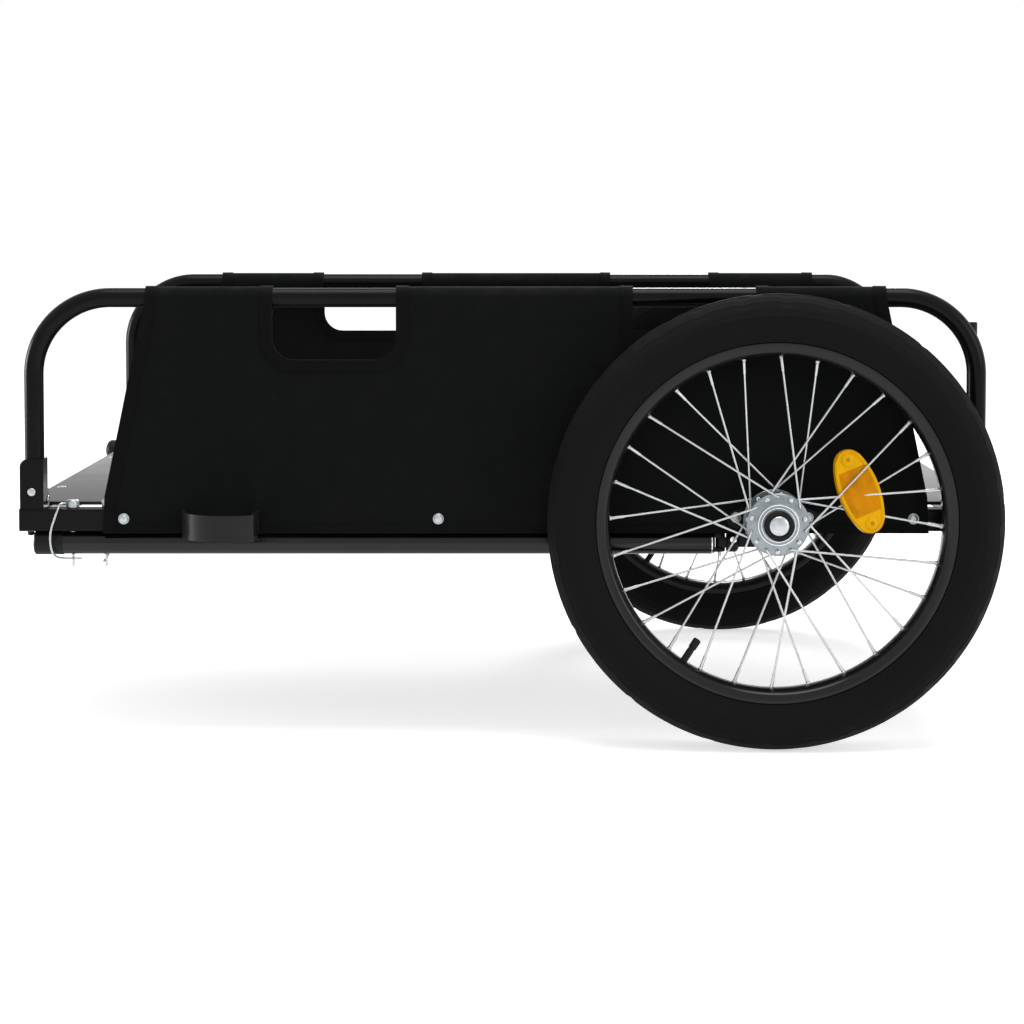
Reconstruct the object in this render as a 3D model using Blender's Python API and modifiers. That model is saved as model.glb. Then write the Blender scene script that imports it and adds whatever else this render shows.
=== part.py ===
"""Two-wheeled cargo trailer for a bicycle, with its tow bar stowed under the left side tube.

Metres, +Z up. The trailer faces -X, so its left side is -Y. The origin is on the ground under the middle of the
base frame. Every piece is one named object, and a moving piece hangs from an empty on its joint's axis.
"""

import math

import bmesh
import bpy
from mathutils import Matrix, Vector

# Clearances, how far a cutter reaches past a face, and what keeps two welded faces out of one plane
GAP = 0.0003
PIN_PLAY = 0.0003
PAST = 0.002
SLIVER = 0.00003

# Base frame
BASE_LENGTH = 0.860
SIDE_TUBE_TRACK = 0.602
TUBE_SIZE = 0.020
TUBE_WALL = 0.0015
TUBE_CORNER = 0.002
AXLE_RISE = 0.0015
END_TUBE_INSET = 0.001
MIDDLE_TUBE_SPACING = 0.280

# Floor board
FLOOR_INSET = 0.001
FLOOR_SIDE_GAP = 0.008
FLOOR_THICKNESS = 0.0035

# Side rails
RAIL_INBOARD = 0.001
RAIL_INSET = 0.012
RAIL_RISE = 0.1967
RAIL_RADIUS = 0.008
RAIL_WALL = 0.0012
RAIL_BEND = 0.068
LEG_LIFT = 0.0013

# Corner brackets and the fold hinge in them
HINGE_RISE = 0.006
HINGE_INSET = 0.0093
SLEEVE_RADIUS = 0.0047
SLEEVE_PLAY = 0.0006
HINGE_PIN_RADIUS = 0.0025
HINGE_PIN_HEAD_RADIUS = 0.004
HINGE_PIN_HEAD = 0.0016
BRACKET_OUTSET = 0.0005
BRACKET_WIDTH = 0.021
BRACKET_HEIGHT = 0.044
BRACKET_WALL = 0.0015
BRACKET_DEPTH = 0.0262
BRACKET_UPPER_DEPTH = 0.0215
BRACKET_SHOULDER_RISE = 0.016
BRACKET_CORNER = 0.007

# Fabric sides
PANEL_OFFSET = 0.0095
PANEL_TOP_SHORT = 0.1826
PANEL_FOLD_SHORT = 0.1096
PANEL_FOOT_SHORT = 0.1062
PANEL_FOLD_RISE = 0.011
PANEL_FOOT_DROP = 0.0015
FABRIC = 0.0016
CASING_WALL = 0.0012
CUTOUT_SPACING = 0.317
CUTOUT_WIDTH = 0.1113
CUTOUT_DROP = 0.0418
CUTOUT_CORNER = 0.016

# Axle mounts
AXLE_PLATE_BOLTS = 0.068
AXLE_PLATE_END_RADIUS = 0.0075
AXLE_PLATE_MIDDLE_RADIUS = 0.0205
AXLE_PLATE = 0.003
RECEIVER_RADIUS = 0.008
RECEIVER_INBOARD = 0.012

# Wheels
WHEEL_OUTBOARD = 0.039
WHEEL_RADIUS = 0.200
WHEEL_SIDES = 36
AXLE_X = 0.237
TYRE_HALF_WIDTH = 0.0225
TYRE_WALL = 0.004
BEAD_DEPTH = 0.0045
BEAD_OVERHANG = 0.0015
TUBE_HALF_WIDTH = 0.0155
INNER_TUBE_WALL = 0.0012
TYRE_HEIGHT = 0.042
RIM_EDGE_DEPTH = 0.008
RIM_DEPTH = 0.0125
RIM_HALF_WIDTH = 0.0135
RIM_WELL_HALF_WIDTH = 0.008
RIM_WALL = 0.0016
SPOKE_COUNT = 28
SPOKE_RADIUS = 0.001
SPOKE_PHASE = 1.4
SPOKE_CROSS_HOLES = 4
SPOKE_CIRCLE = 0.0236
SPOKE_LIFT = 0.001
NIPPLE_RADIUS = 0.0021
NIPPLE_LENGTH = 0.013
NIPPLE_SPREAD = 0.002
NIPPLE_SEAT = 0.0012
SPOKE_SIDES = 4
INNER_TUBE_SIDES = 20
HUB_FLANGE_RADIUS = 0.0273
HUB_FLANGE_SPACING = 0.036
HUB_FLANGE = 0.0026
HUB_BARREL_RADIUS = 0.0165
HUB_END_RADIUS = 0.0178
HUB_BORE_RADIUS = 0.0085
HUB_WIDTH = 0.046
BEARING_RADIUS = 0.0142
BEARING_WIDTH = 0.008
REFLECTOR_LENGTH = 0.077
REFLECTOR_WIDTH = 0.0355
REFLECTOR_END_RADIUS = 0.010
REFLECTOR_THICKNESS = 0.008
REFLECTOR_RADIUS = 0.0765
REFLECTOR_ANGLE = 68.7
REFLECTOR_OUT = 0.0062
REFLECTOR_LEAN = 9.2
VALVE_ANGLE = 213.5
VALVE_REACH = 0.0225
VALVE_RADIUS = 0.0032
VALVE_BORE = 0.0013

# Quick release axles
AXLE_RADIUS = 0.006
AXLE_HEAD_RADIUS = 0.0131
AXLE_HEAD = 0.007
AXLE_PROUD = 0.003
BUTTON_RADIUS = 0.0088
BUTTON_TRAVEL = 0.003
BUTTON_DOME = 0.004
BUTTON_POCKET = 0.005
BUTTON_STEM_RADIUS = 0.0025
BUTTON_STEM = 0.016

# Side guard hoop
HOOP_FRONT = -0.283
HOOP_REAR = -0.217
HOOP_ARC = 0.0435
HOOP_REACH = 0.0615
HOOP_HEIGHT = 0.023
HOOP_DROP = 0.0025
HOOP_SHEET = 0.002

# Flag holder
FLAG_SHIFT = 0.0023
FLAG_RADIUS = 0.0045
FLAG_BORE = 0.0033
FLAG_FLOOR = 0.003
FLAG_DROP = 0.0222
FLAG_LENGTH = 0.073
FLAG_BAND = 0.0015
FLAG_BAND_HEIGHT = 0.008
FLAG_BAND_RISES = (0.003, 0.017)

# Lens on the right front corner
LENS_RADIUS = 0.0095
LENS_REACH = 0.0155
LENS_DEPTH = 0.0093
LENS_STEM_RADIUS = 0.003
LENS_RISE = 0.008

# Tow bar
TOW_BAR_RADIUS = 0.009
TOW_BAR_WALL = 0.0013
TOW_BAR_DROP = 0.0112
TOW_BAR_INSET = 0.0135
TOW_BAR_REAR = 0.183
BAR_CAP_LENGTH = 0.0245
BAR_CAP_WALL = 0.001
TOW_PIN_INSET = 0.0325
TOW_PIN_RADIUS = 0.003
TOW_PIN_HEAD_RADIUS = 0.0057
LOCK_PIN_INSET = 0.0619
LOCK_PIN_RADIUS = 0.0026
LOCK_PIN_HEAD_RADIUS = 0.0038
PIN_HEAD = 0.007
PIN_DROP = 0.0208
PIN_TIP_DROP = 0.0105
PIN_TIP_RADIUS = 0.0012
WIRE_RADIUS = 0.001
TOW_LATCH_PATH = ((-0.006, 0.0, 0.0), (-0.009, 0.0, 0.0), (-0.0105, -0.007, 0.0), (-0.011, -0.0145, -0.004),
                  (-0.0175, -0.0145, -0.0223), (-0.018, -0.0145, -0.0343), (-0.016, -0.0125, -0.0443),
                  (-0.012, -0.0025, -0.0483), (-0.006, -0.0025, -0.0488), (0.008, -0.0025, -0.0488))
LOCK_LATCH_PATH = ((0.0041, 0.0, 0.0), (0.0061, 0.0, 0.0), (0.0066, 0.008, 0.0), (0.0066, 0.0125, -0.005),
                   (0.0061, 0.0125, -0.0403), (0.0051, 0.0105, -0.0483), (0.0025, 0.004, -0.0513),
                   (0.0025, -0.002, -0.0513))

# Hitch at the rear end of the stowed bar
FORK_INSERT = 0.025
FORK_COLLAR_RADIUS = 0.0095
FORK_COLLAR = 0.0027
FORK_EAR_RADIUS = 0.005
FORK_PIVOT = 0.0042
FORK_SLOT = 0.0094
FORK_HEIGHT = 0.016
COUPLER_TONGUE_RADIUS = 0.0036
COUPLER_FACE = 0.0058
COUPLER_LENGTH = 0.012
COUPLER_RADIUS = 0.0085
COUPLER_ARM_LENGTH = 0.0165
COUPLER_ARM_WIDTH = 0.009
COUPLER_ARM_FOOT = 0.0038
COUPLER_ARM_HEIGHT = 0.0112
HITCH_PIN_RADIUS = 0.0018
HITCH_PIN_DROP = 0.0118
CROSS_BOLT_RADIUS = 0.002
CROSS_BOLT_HEAD_RADIUS = 0.003
CROSS_BOLT_RISE = 0.0035

# Values that follow from those above
BASE_HEIGHT = WHEEL_RADIUS - AXLE_RISE
TUBE_TOP = BASE_HEIGHT + TUBE_SIZE / 2
TUBE_FOOT = BASE_HEIGHT - TUBE_SIZE / 2
TUBE_Y = SIDE_TUBE_TRACK / 2
SIDE_FACE = TUBE_Y + TUBE_SIZE / 2
SIDE_INNER = TUBE_Y - TUBE_SIZE / 2
END_TUBE_X = BASE_LENGTH / 2 - END_TUBE_INSET - TUBE_SIZE / 2
FLOOR_LENGTH = BASE_LENGTH - 2 * FLOOR_INSET
FLOOR_FOOT = TUBE_TOP + GAP
FLOOR_TOP = FLOOR_FOOT + FLOOR_THICKNESS
RAIL_Y = TUBE_Y - RAIL_INBOARD
RAIL_LENGTH = BASE_LENGTH - 2 * RAIL_INSET
RAIL_HEIGHT = BASE_HEIGHT + RAIL_RISE
LEG_FOOT = TUBE_TOP + LEG_LIFT
HINGE_Y = RAIL_Y - HINGE_INSET
HINGE_HEIGHT = TUBE_TOP + HINGE_RISE
BRACKET_X = RAIL_LENGTH / 2 + BRACKET_OUTSET
BRACKET_FOOT = TUBE_TOP + GAP
BRACKET_TOP = BRACKET_FOOT + BRACKET_HEIGHT
BRACKET_SHOULDER = TUBE_TOP + BRACKET_SHOULDER_RISE
PANEL_TOP_LENGTH = RAIL_LENGTH - PANEL_TOP_SHORT
PANEL_FOLD_LENGTH = RAIL_LENGTH - PANEL_FOLD_SHORT
PANEL_FOOT_LENGTH = RAIL_LENGTH - PANEL_FOOT_SHORT
PANEL_FOLD_HEIGHT = TUBE_TOP + PANEL_FOLD_RISE
PANEL_FOOT = TUBE_FOOT - PANEL_FOOT_DROP
CASING_INNER = RAIL_RADIUS + GAP
SKIRT_INNER = SIDE_FACE + GAP
SKIRT_OUTER = SKIRT_INNER + FABRIC
PLATE_INNER = SKIRT_OUTER + GAP
PLATE_OUTER = PLATE_INNER + AXLE_PLATE
WHEEL_Y = TUBE_Y + WHEEL_OUTBOARD
HUB_END = HUB_WIDTH / 2
TYRE_MIDDLE = WHEEL_RADIUS - TYRE_HALF_WIDTH
RIM_FLANGE_RADIUS = WHEEL_RADIUS - TYRE_HEIGHT
RIM_SHOULDER_RADIUS = RIM_FLANGE_RADIUS - RIM_EDGE_DEPTH
RIM_INNER_RADIUS = RIM_FLANGE_RADIUS - RIM_DEPTH
BEAD_RADIUS = RIM_FLANGE_RADIUS - BEAD_DEPTH
VALVE_TIP = RIM_INNER_RADIUS - VALVE_REACH
HEAD_INNER = HUB_END + GAP
HEAD_OUTER = HEAD_INNER + AXLE_HEAD
POCKET_FLOOR = HEAD_OUTER - BUTTON_POCKET
BUTTON_BASE = POCKET_FLOOR + BUTTON_TRAVEL + PIN_PLAY
RECEIVER_END = SIDE_INNER - RECEIVER_INBOARD
HOOP_FOOT = TUBE_FOOT - HOOP_DROP
FLAG_X = RAIL_LENGTH / 2 - FLAG_SHIFT
FLAG_TOP = RAIL_HEIGHT - FLAG_DROP
FLAG_FOOT = FLAG_TOP - FLAG_LENGTH
TOW_BAR_HEIGHT = TUBE_FOOT - TOW_BAR_DROP
TOW_BAR_FRONT = TOW_BAR_INSET - BASE_LENGTH / 2
TOW_PIN_X = TOW_BAR_FRONT + TOW_PIN_INSET
LOCK_PIN_X = TOW_BAR_FRONT + LOCK_PIN_INSET
PIN_FOOT = TOW_BAR_HEIGHT - PIN_DROP
PIN_TIP_TOP = TOW_BAR_HEIGHT - PIN_TIP_DROP
PIN_TOP = TUBE_TOP + GAP
LATCH_HEIGHT = PIN_TOP + PIN_HEAD / 2
HITCH_PIN_FOOT = TOW_BAR_HEIGHT - HITCH_PIN_DROP
PIVOT_X = TOW_BAR_REAR + GAP + FORK_COLLAR + FORK_PIVOT + GAP


def colour(name, rgb, roughness, metallic=0.0):
    """A material with one colour and finish."""
    material = bpy.data.materials.new(name)
    material.use_nodes = True
    shader = material.node_tree.nodes["Principled BSDF"]
    shader.inputs["Base Color"].default_value = (*rgb, 1.0)
    shader.inputs["Roughness"].default_value = roughness
    shader.inputs["Metallic"].default_value = metallic
    material.diffuse_color = (*rgb, 1.0)
    return material


def start():
    """Clears the scene and makes the part's collection and the cutters' one."""
    for old in list(bpy.data.objects):
        bpy.data.objects.remove(old, do_unlink=True)
    made = []
    for name in ("bike_cargo_trailer", "cutters"):
        collection = bpy.data.collections.new(name)
        bpy.context.scene.collection.children.link(collection)
        made.append(collection)
    return made


PART, CUTTERS = start()
PAINT = colour("black_paint", (0.012, 0.012, 0.013), 0.35)
CLOTH = colour("black_fabric", (0.010, 0.010, 0.011), 0.85)
BOARD = colour("grey_board", (0.30, 0.30, 0.31), 0.6)
ZINC = colour("zinc", (0.62, 0.66, 0.68), 0.35, 1.0)
CHROME = colour("bright_steel", (0.80, 0.81, 0.82), 0.2, 1.0)
RUBBER = colour("tyre_rubber", (0.010, 0.010, 0.010), 0.7)
GLOSS = colour("black_rim", (0.012, 0.012, 0.013), 0.3)
PLASTIC = colour("black_plastic", (0.015, 0.015, 0.016), 0.45)
AMBER = colour("amber_plastic", (0.90, 0.42, 0.02), 0.25)


def link(name, data, material):
    """A new object from mesh or curve data, in the part's collection."""
    thing = bpy.data.objects.new(name, data)
    PART.objects.link(thing)
    if material:
        data.materials.append(material)
    return thing


def finished(name, bm, material):
    """A new object from a bmesh, smooth where its faces nearly line up."""
    bmesh.ops.recalc_face_normals(bm, faces=bm.faces)
    mesh = bpy.data.meshes.new(name)
    bm.to_mesh(mesh)
    bm.free()
    mesh.shade_smooth()
    mesh.set_sharp_from_angle(angle=math.radians(35))
    return link(name, mesh, material)


def add_box(bm, low, high):
    """Adds a box between two corners, given in any order, and returns its vertices."""
    verts = bmesh.ops.create_cube(bm, size=1.0)["verts"]
    bmesh.ops.scale(bm, vec=[abs(b - a) for a, b in zip(low, high)], verts=verts)
    bmesh.ops.translate(bm, vec=[(a + b) / 2 for a, b in zip(low, high)], verts=verts)
    return verts


def box(name, low, high, material=None):
    """A box between two corners."""
    bm = bmesh.new()
    add_box(bm, low, high)
    return finished(name, bm, material)


def along(axis):
    """A rotation that takes +Z to a direction."""
    return Vector((0, 0, 1)).rotation_difference(Vector(axis)).to_matrix().to_4x4()


def add_rod(bm, start_point, end_point, radius, sides):
    """Adds a straight round rod between two points."""
    a, b = Vector(start_point), Vector(end_point)
    place = Matrix.Translation((a + b) / 2) @ along(b - a)
    bmesh.ops.create_cone(bm, cap_ends=True, segments=sides, radius1=radius, radius2=radius,
                          depth=(b - a).length, matrix=place)


def rod(name, start_point, end_point, radius, sides, material=None):
    """A straight round rod between two points."""
    bm = bmesh.new()
    add_rod(bm, start_point, end_point, radius, sides)
    return finished(name, bm, material)


def rods(name, ends, radius, sides, material=None):
    """Several straight rods in one object."""
    bm = bmesh.new()
    for start_point, end_point in ends:
        add_rod(bm, start_point, end_point, radius, sides)
    return finished(name, bm, material)


def turned(name, profile, centre, axis, steps, material=None):
    """A solid of revolution about a line through the centre. The profile is a list of (radius, distance along the
    axis): a closed loop, or a line that starts and ends on the axis."""
    area = sum(a[0] * b[1] - b[0] * a[1] for a, b in zip(profile, profile[1:] + profile[:1]))
    if area > 0:
        profile = profile[::-1]
    edges = [(i, i + 1) for i in range(len(profile) - 1)]
    if profile[0][0] > 0 or profile[-1][0] > 0:
        edges.append((len(profile) - 1, 0))
    mesh = bpy.data.meshes.new(name)
    mesh.from_pydata([(radius, 0.0, height) for radius, height in profile], edges, [])
    thing = link(name, mesh, material)
    screw = thing.modifiers.new("turn", "SCREW")
    screw.steps = screw.render_steps = steps
    screw.use_merge_vertices = True
    screw.merge_threshold = 0.00001
    screw.use_smooth_shade = True
    thing.matrix_world = Matrix.Translation(centre) @ along(axis)
    return thing


def ring(inner, outer, low, high):
    """The profile of a plain ring or sleeve."""
    return [(outer, high), (outer, low), (inner, low), (inner, high)]


def arc(centre, radius, start_angle, end_angle, steps):
    """Points on an arc, in degrees anticlockwise from the first axis."""
    turn = [math.radians(start_angle + (end_angle - start_angle) * i / steps) for i in range(steps + 1)]
    return [(centre[0] + radius * math.cos(t), centre[1] + radius * math.sin(t)) for t in turn]


def plate(name, outline, thickness, material, matrix):
    """A flat plate from an outline in its own XY plane, centred on that plane, as a mesh."""
    curve = bpy.data.curves.new(name, "CURVE")
    curve.dimensions = "2D"
    curve.fill_mode = "BOTH"
    curve.extrude = thickness / 2
    spline = curve.splines.new("POLY")
    spline.points.add(len(outline) - 1)
    for point, (x, y) in zip(spline.points, outline):
        point.co = (x, y, 0, 1)
    spline.use_cyclic_u = True
    thing = link(name, curve, material)
    thing.matrix_world = matrix
    return as_mesh(thing)


def wire(name, points, radius, resolution, material, caps=True):
    """A round wire or tube along a list of points, as a mesh."""
    curve = bpy.data.curves.new(name, "CURVE")
    curve.dimensions = "3D"
    curve.bevel_depth = radius
    curve.bevel_resolution = resolution
    curve.use_fill_caps = caps
    spline = curve.splines.new("POLY")
    spline.points.add(len(points) - 1)
    for point, place in zip(spline.points, points):
        point.co = (*place, 1)
    return as_mesh(link(name, curve, material))


def as_mesh(thing):
    """The same object as a mesh, as its modifiers leave it, with its seams welded."""
    bpy.context.view_layer.update()
    graph = bpy.context.evaluated_depsgraph_get()
    mesh = bpy.data.meshes.new_from_object(thing.evaluated_get(graph))
    bm = bmesh.new()
    bm.from_mesh(mesh)
    bmesh.ops.remove_doubles(bm, verts=bm.verts, dist=0.000005)
    bmesh.ops.recalc_face_normals(bm, faces=bm.faces)
    bm.to_mesh(mesh)
    bm.free()
    mesh.shade_smooth()
    mesh.set_sharp_from_angle(angle=math.radians(35))
    name, world = thing.name, thing.matrix_world.copy()
    bpy.data.objects.remove(thing, do_unlink=True)
    made = bpy.data.objects.new(name, mesh)
    PART.objects.link(made)
    made.matrix_world = world
    return made


def combine(thing, other, operation):
    """A Boolean of two pieces. The other object moves to the cutters."""
    PART.objects.unlink(other)
    CUTTERS.objects.link(other)
    other.hide_render = True
    other.display_type = "WIRE"
    modifier = thing.modifiers.new("combine", "BOOLEAN")
    modifier.operation = operation
    modifier.solver = "EXACT"
    modifier.object = other


def cut(thing, *others):
    """Takes the others away from the piece."""
    for other in others:
        combine(thing, other, "DIFFERENCE")
    return thing


def weld(thing, *others):
    """Makes the others one solid with the piece."""
    for other in others:
        combine(thing, other, "UNION")
    return thing


def hang(pieces, name, centre, axis):
    """Puts pieces on an empty that stands on their joint's axis."""
    empty = bpy.data.objects.new(name, None)
    PART.objects.link(empty)
    empty.matrix_world = Matrix.Translation(centre) @ along(axis)
    bpy.context.view_layer.update()
    for piece in pieces:
        world = piece.matrix_world.copy()
        piece.parent = empty
        piece.matrix_parent_inverse = empty.matrix_world.inverted()
        piece.matrix_world = world


def side_name(side):
    """-1 is the left side, at -Y, and 1 the right."""
    return "left" if side < 0 else "right"


def crosswise(x, height, side, near, far, radius, sides=8):
    """A cutter along Y for a hole, between two distances from the middle."""
    return rod("hole", (x, side * (near - PAST), height), (x, side * (far + PAST), height), radius, sides)


def square_tube(name, low, high, axis):
    """A square tube that fills a box and is open at both ends of its axis."""
    bm = bmesh.new()
    add_box(bm, low, high)
    edges = [e for e in bm.edges if abs((e.verts[0].co - e.verts[1].co).normalized()[axis]) > 0.9]
    bmesh.ops.bevel(bm, geom=edges, offset=TUBE_CORNER, segments=2, profile=0.5, affect="EDGES")
    tube = finished(name, bm, PAINT)
    wall = [TUBE_WALL] * 3
    wall[axis] = -PAST
    bore = box("bore", [v + w for v, w in zip(low, wall)], [v - w for v, w in zip(high, wall)])
    return cut(tube, bore)


def side_tube(side):
    """The long tube of the base, with the holes that its neighbours need."""
    low = (-BASE_LENGTH / 2, min(side * SIDE_FACE, side * SIDE_INNER), TUBE_FOOT)
    high = (BASE_LENGTH / 2, max(side * SIDE_FACE, side * SIDE_INNER), TUBE_TOP)
    tube = square_tube("side_tube_" + side_name(side), low, high, 0)
    cut(tube, crosswise(AXLE_X, WHEEL_RADIUS, side, SIDE_INNER, SIDE_FACE, RECEIVER_RADIUS + GAP, 16))
    if side < 0:
        for x, radius in ((TOW_PIN_X, TOW_PIN_RADIUS), (LOCK_PIN_X, LOCK_PIN_RADIUS)):
            cut(tube, upright_hole(x, TUBE_FOOT, TUBE_TOP, radius))
    return tube


def upright_hole(x, low, high, radius):
    """A cutter for one of the tow bar's upright pins."""
    return rod("hole", (x, -RAIL_Y, low - PAST), (x, -RAIL_Y, high + PAST), radius + PIN_PLAY, 10)


def cross_tube(name, x):
    """A tube across the base between the side tubes."""
    half, reach = TUBE_SIZE / 2, SIDE_INNER - GAP
    return square_tube(name, (x - half, -reach, TUBE_FOOT), (x + half, reach, TUBE_TOP), 1)


def cross_tubes():
    """The tubes at both ends of the base, and the pair between them."""
    for end, word in ((-1, "front"), (1, "rear")):
        cross_tube(word + "_cross_tube", end * END_TUBE_X)
        cross_tube("middle_cross_tube_" + word, end * MIDDLE_TUBE_SPACING / 2)


def floor_board():
    """The flat board on the cross tubes."""
    half_x, half_y = FLOOR_LENGTH / 2, SIDE_INNER - FLOOR_SIDE_GAP
    box("floor_board", (-half_x, -half_y, FLOOR_FOOT), (half_x, half_y, FLOOR_TOP), BOARD)


def corner_bracket(side, end):
    """The U channel on a corner of the base that holds one leg of a side rail, open inward and at the top."""
    x, half = end * BRACKET_X, BRACKET_WIDTH / 2
    bm = bmesh.new()
    add_box(bm, (x - half, side * SIDE_FACE, BRACKET_FOOT), (x + half, side * (SIDE_FACE - BRACKET_DEPTH), BRACKET_TOP))
    corner = [e for e in bm.edges if all(v.co.z > BRACKET_TOP - GAP and end * (v.co.x - x) > 0 for v in e.verts)]
    bmesh.ops.bevel(bm, geom=corner, offset=BRACKET_CORNER, segments=4, profile=0.5, affect="EDGES")
    bracket = finished(f"corner_bracket_{'front' if end < 0 else 'rear'}_{side_name(side)}", bm, PAINT)
    room = half - BRACKET_WALL
    deep = side * (SIDE_FACE - BRACKET_DEPTH - PAST)
    channel = box("channel", (x - room, side * (SIDE_FACE - BRACKET_WALL), BRACKET_FOOT - PAST),
                  (x + room, deep, BRACKET_TOP + PAST))
    step = box("step", (x - half - PAST, side * (SIDE_FACE - BRACKET_UPPER_DEPTH), BRACKET_SHOULDER),
               (x + half + PAST, deep, BRACKET_TOP + PAST))
    cut(bracket, channel, step, hinge_hole(side, x))


def hinge_hole(side, x):
    """A cutter for the hole of a fold pin."""
    reach = BRACKET_WIDTH / 2 + PAST
    return rod("hole", (x - reach, side * HINGE_Y, HINGE_HEIGHT), (x + reach, side * HINGE_Y, HINGE_HEIGHT),
               HINGE_PIN_RADIUS + PIN_PLAY, 12)


def hinge_pins():
    """The fold pins, with a head outside each ear."""
    half = BRACKET_WIDTH / 2 + GAP
    upper = [(0.0, half + HINGE_PIN_HEAD), (HINGE_PIN_HEAD_RADIUS, half + HINGE_PIN_HEAD),
             (HINGE_PIN_HEAD_RADIUS, half), (HINGE_PIN_RADIUS, half)]
    profile = upper + [(radius, -height) for radius, height in reversed(upper)]
    for side in (-1, 1):
        for end, word in ((-1, "front"), (1, "rear")):
            turned(f"hinge_pin_{word}_{side_name(side)}", profile, (end * BRACKET_X, side * HINGE_Y, HINGE_HEIGHT),
                   (1, 0, 0), 8, ZINC)


def side_rail(side):
    """The bent tube of one side, with a hinge sleeve welded to the inner side of each foot."""
    half, bend = RAIL_LENGTH / 2, RAIL_BEND
    path = [(half, LEG_FOOT)] + arc((half - bend, RAIL_HEIGHT - bend), bend, 0, 90, 6)
    path += [(-x, z) for x, z in reversed(path)]
    points = [(x, side * RAIL_Y, z) for x, z in path]
    rail = wire("side_rail_" + side_name(side), points, RAIL_RADIUS, 3, PAINT, caps=False)
    wall = rail.modifiers.new("wall", "SOLIDIFY")
    wall.thickness = RAIL_WALL
    wall.offset = -1.0
    reach = BRACKET_WIDTH / 2 - BRACKET_WALL - SLEEVE_PLAY
    for end in (-1, 1):
        x = end * BRACKET_X
        weld(rail, rod("sleeve", (x - reach, side * HINGE_Y, HINGE_HEIGHT), (x + reach, side * HINGE_Y, HINGE_HEIGHT),
                       SLEEVE_RADIUS, 12))
    bore = RAIL_RADIUS - RAIL_WALL - GAP
    for end in (-1, 1):
        foot = (end * half, side * RAIL_Y, LEG_FOOT - PAST)
        top = (end * half, side * RAIL_Y, HINGE_HEIGHT + SLEEVE_RADIUS + PAST)
        cut(rail, rod("bore", foot, top, bore, 12), hinge_hole(side, end * BRACKET_X))
    return rail


def panel_half(height):
    """Half the fabric's length at a height above the ground."""
    low, high, foot, top = PANEL_FOLD_HEIGHT, RAIL_HEIGHT, PANEL_FOLD_LENGTH, PANEL_TOP_LENGTH
    if height < PANEL_FOLD_HEIGHT:
        low, high, foot, top = PANEL_FOOT, PANEL_FOLD_HEIGHT, PANEL_FOOT_LENGTH, PANEL_FOLD_LENGTH
    return (foot + (top - foot) * (height - low) / (high - low)) / 2


def upright(side, y, height, lean=0.0):
    """The matrix of an upright sheet, whose own X runs along the trailer and own Y up from a height."""
    return Matrix.Translation((0, side * y, height)) @ Matrix.Rotation(math.radians(90) + side * lean, 4, "X")


def cutout_centres():
    """X of the two hand cut-outs."""
    return [PANEL_OFFSET + end * CUTOUT_SPACING / 2 for end in (-1, 1)]


def cutout_outline(centre, top):
    """A hand cut-out from its right upper corner round its foot to its left one, in the sheet's own plane."""
    half, foot = CUTOUT_WIDTH / 2, top - CUTOUT_DROP
    right = arc((centre + half - CUTOUT_CORNER, foot + CUTOUT_CORNER), CUTOUT_CORNER, 0, -90, 4)
    left = arc((centre - half + CUTOUT_CORNER, foot + CUTOUT_CORNER), CUTOUT_CORNER, -90, -180, 4)
    return [(centre + half, top)] + right + left + [(centre - half, top)]


def fabric_panel(side):
    """The fabric of one side above the fold line, hemmed round the rail beside its hand cut-outs."""
    top = RAIL_HEIGHT - PANEL_FOLD_HEIGHT
    fold_half, top_half = panel_half(PANEL_FOLD_HEIGHT), panel_half(RAIL_HEIGHT)
    outline = [(PANEL_OFFSET + fold_half, 0.0), (PANEL_OFFSET + top_half, top)]
    for centre in reversed(cutout_centres()):
        outline += cutout_outline(centre, top)
    outline += [(PANEL_OFFSET - top_half, top), (PANEL_OFFSET - fold_half, 0.0)]
    foot_y = SKIRT_INNER + FABRIC / 2
    top_y = RAIL_Y + CASING_INNER + FABRIC / 2
    place = upright(side, foot_y, PANEL_FOLD_HEIGHT, math.atan2(foot_y - top_y, top))
    sheet = plate("fabric_panel_" + side_name(side), outline, FABRIC, CLOTH, place)
    first, last = cutout_centres()
    edge = CUTOUT_WIDTH / 2
    spans = [(PANEL_OFFSET - top_half, first - edge), (first + edge, last - edge),
             (last + edge, PANEL_OFFSET + top_half)]
    for low, high in spans:
        casing = ring(CASING_INNER, CASING_INNER + CASING_WALL, low, high)
        weld(sheet, turned("casing", casing, (0, side * RAIL_Y, RAIL_HEIGHT), (1, 0, 0), 12))
    return sheet


def fabric_skirt(side):
    """The fabric below the fold line, bolted to the side tube."""
    top = PANEL_FOLD_HEIGHT - GAP
    foot_half, top_half = panel_half(PANEL_FOOT), panel_half(top)
    outline = [(PANEL_OFFSET - foot_half, 0), (PANEL_OFFSET + foot_half, 0),
               (PANEL_OFFSET + top_half, top - PANEL_FOOT), (PANEL_OFFSET - top_half, top - PANEL_FOOT)]
    place = upright(side, SKIRT_INNER + FABRIC / 2, PANEL_FOOT)
    sheet = plate("fabric_skirt_" + side_name(side), outline, FABRIC, CLOTH, place)
    cut(sheet, crosswise(AXLE_X, WHEEL_RADIUS, side, SKIRT_INNER, SKIRT_OUTER, RECEIVER_RADIUS + GAP, 16))


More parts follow.
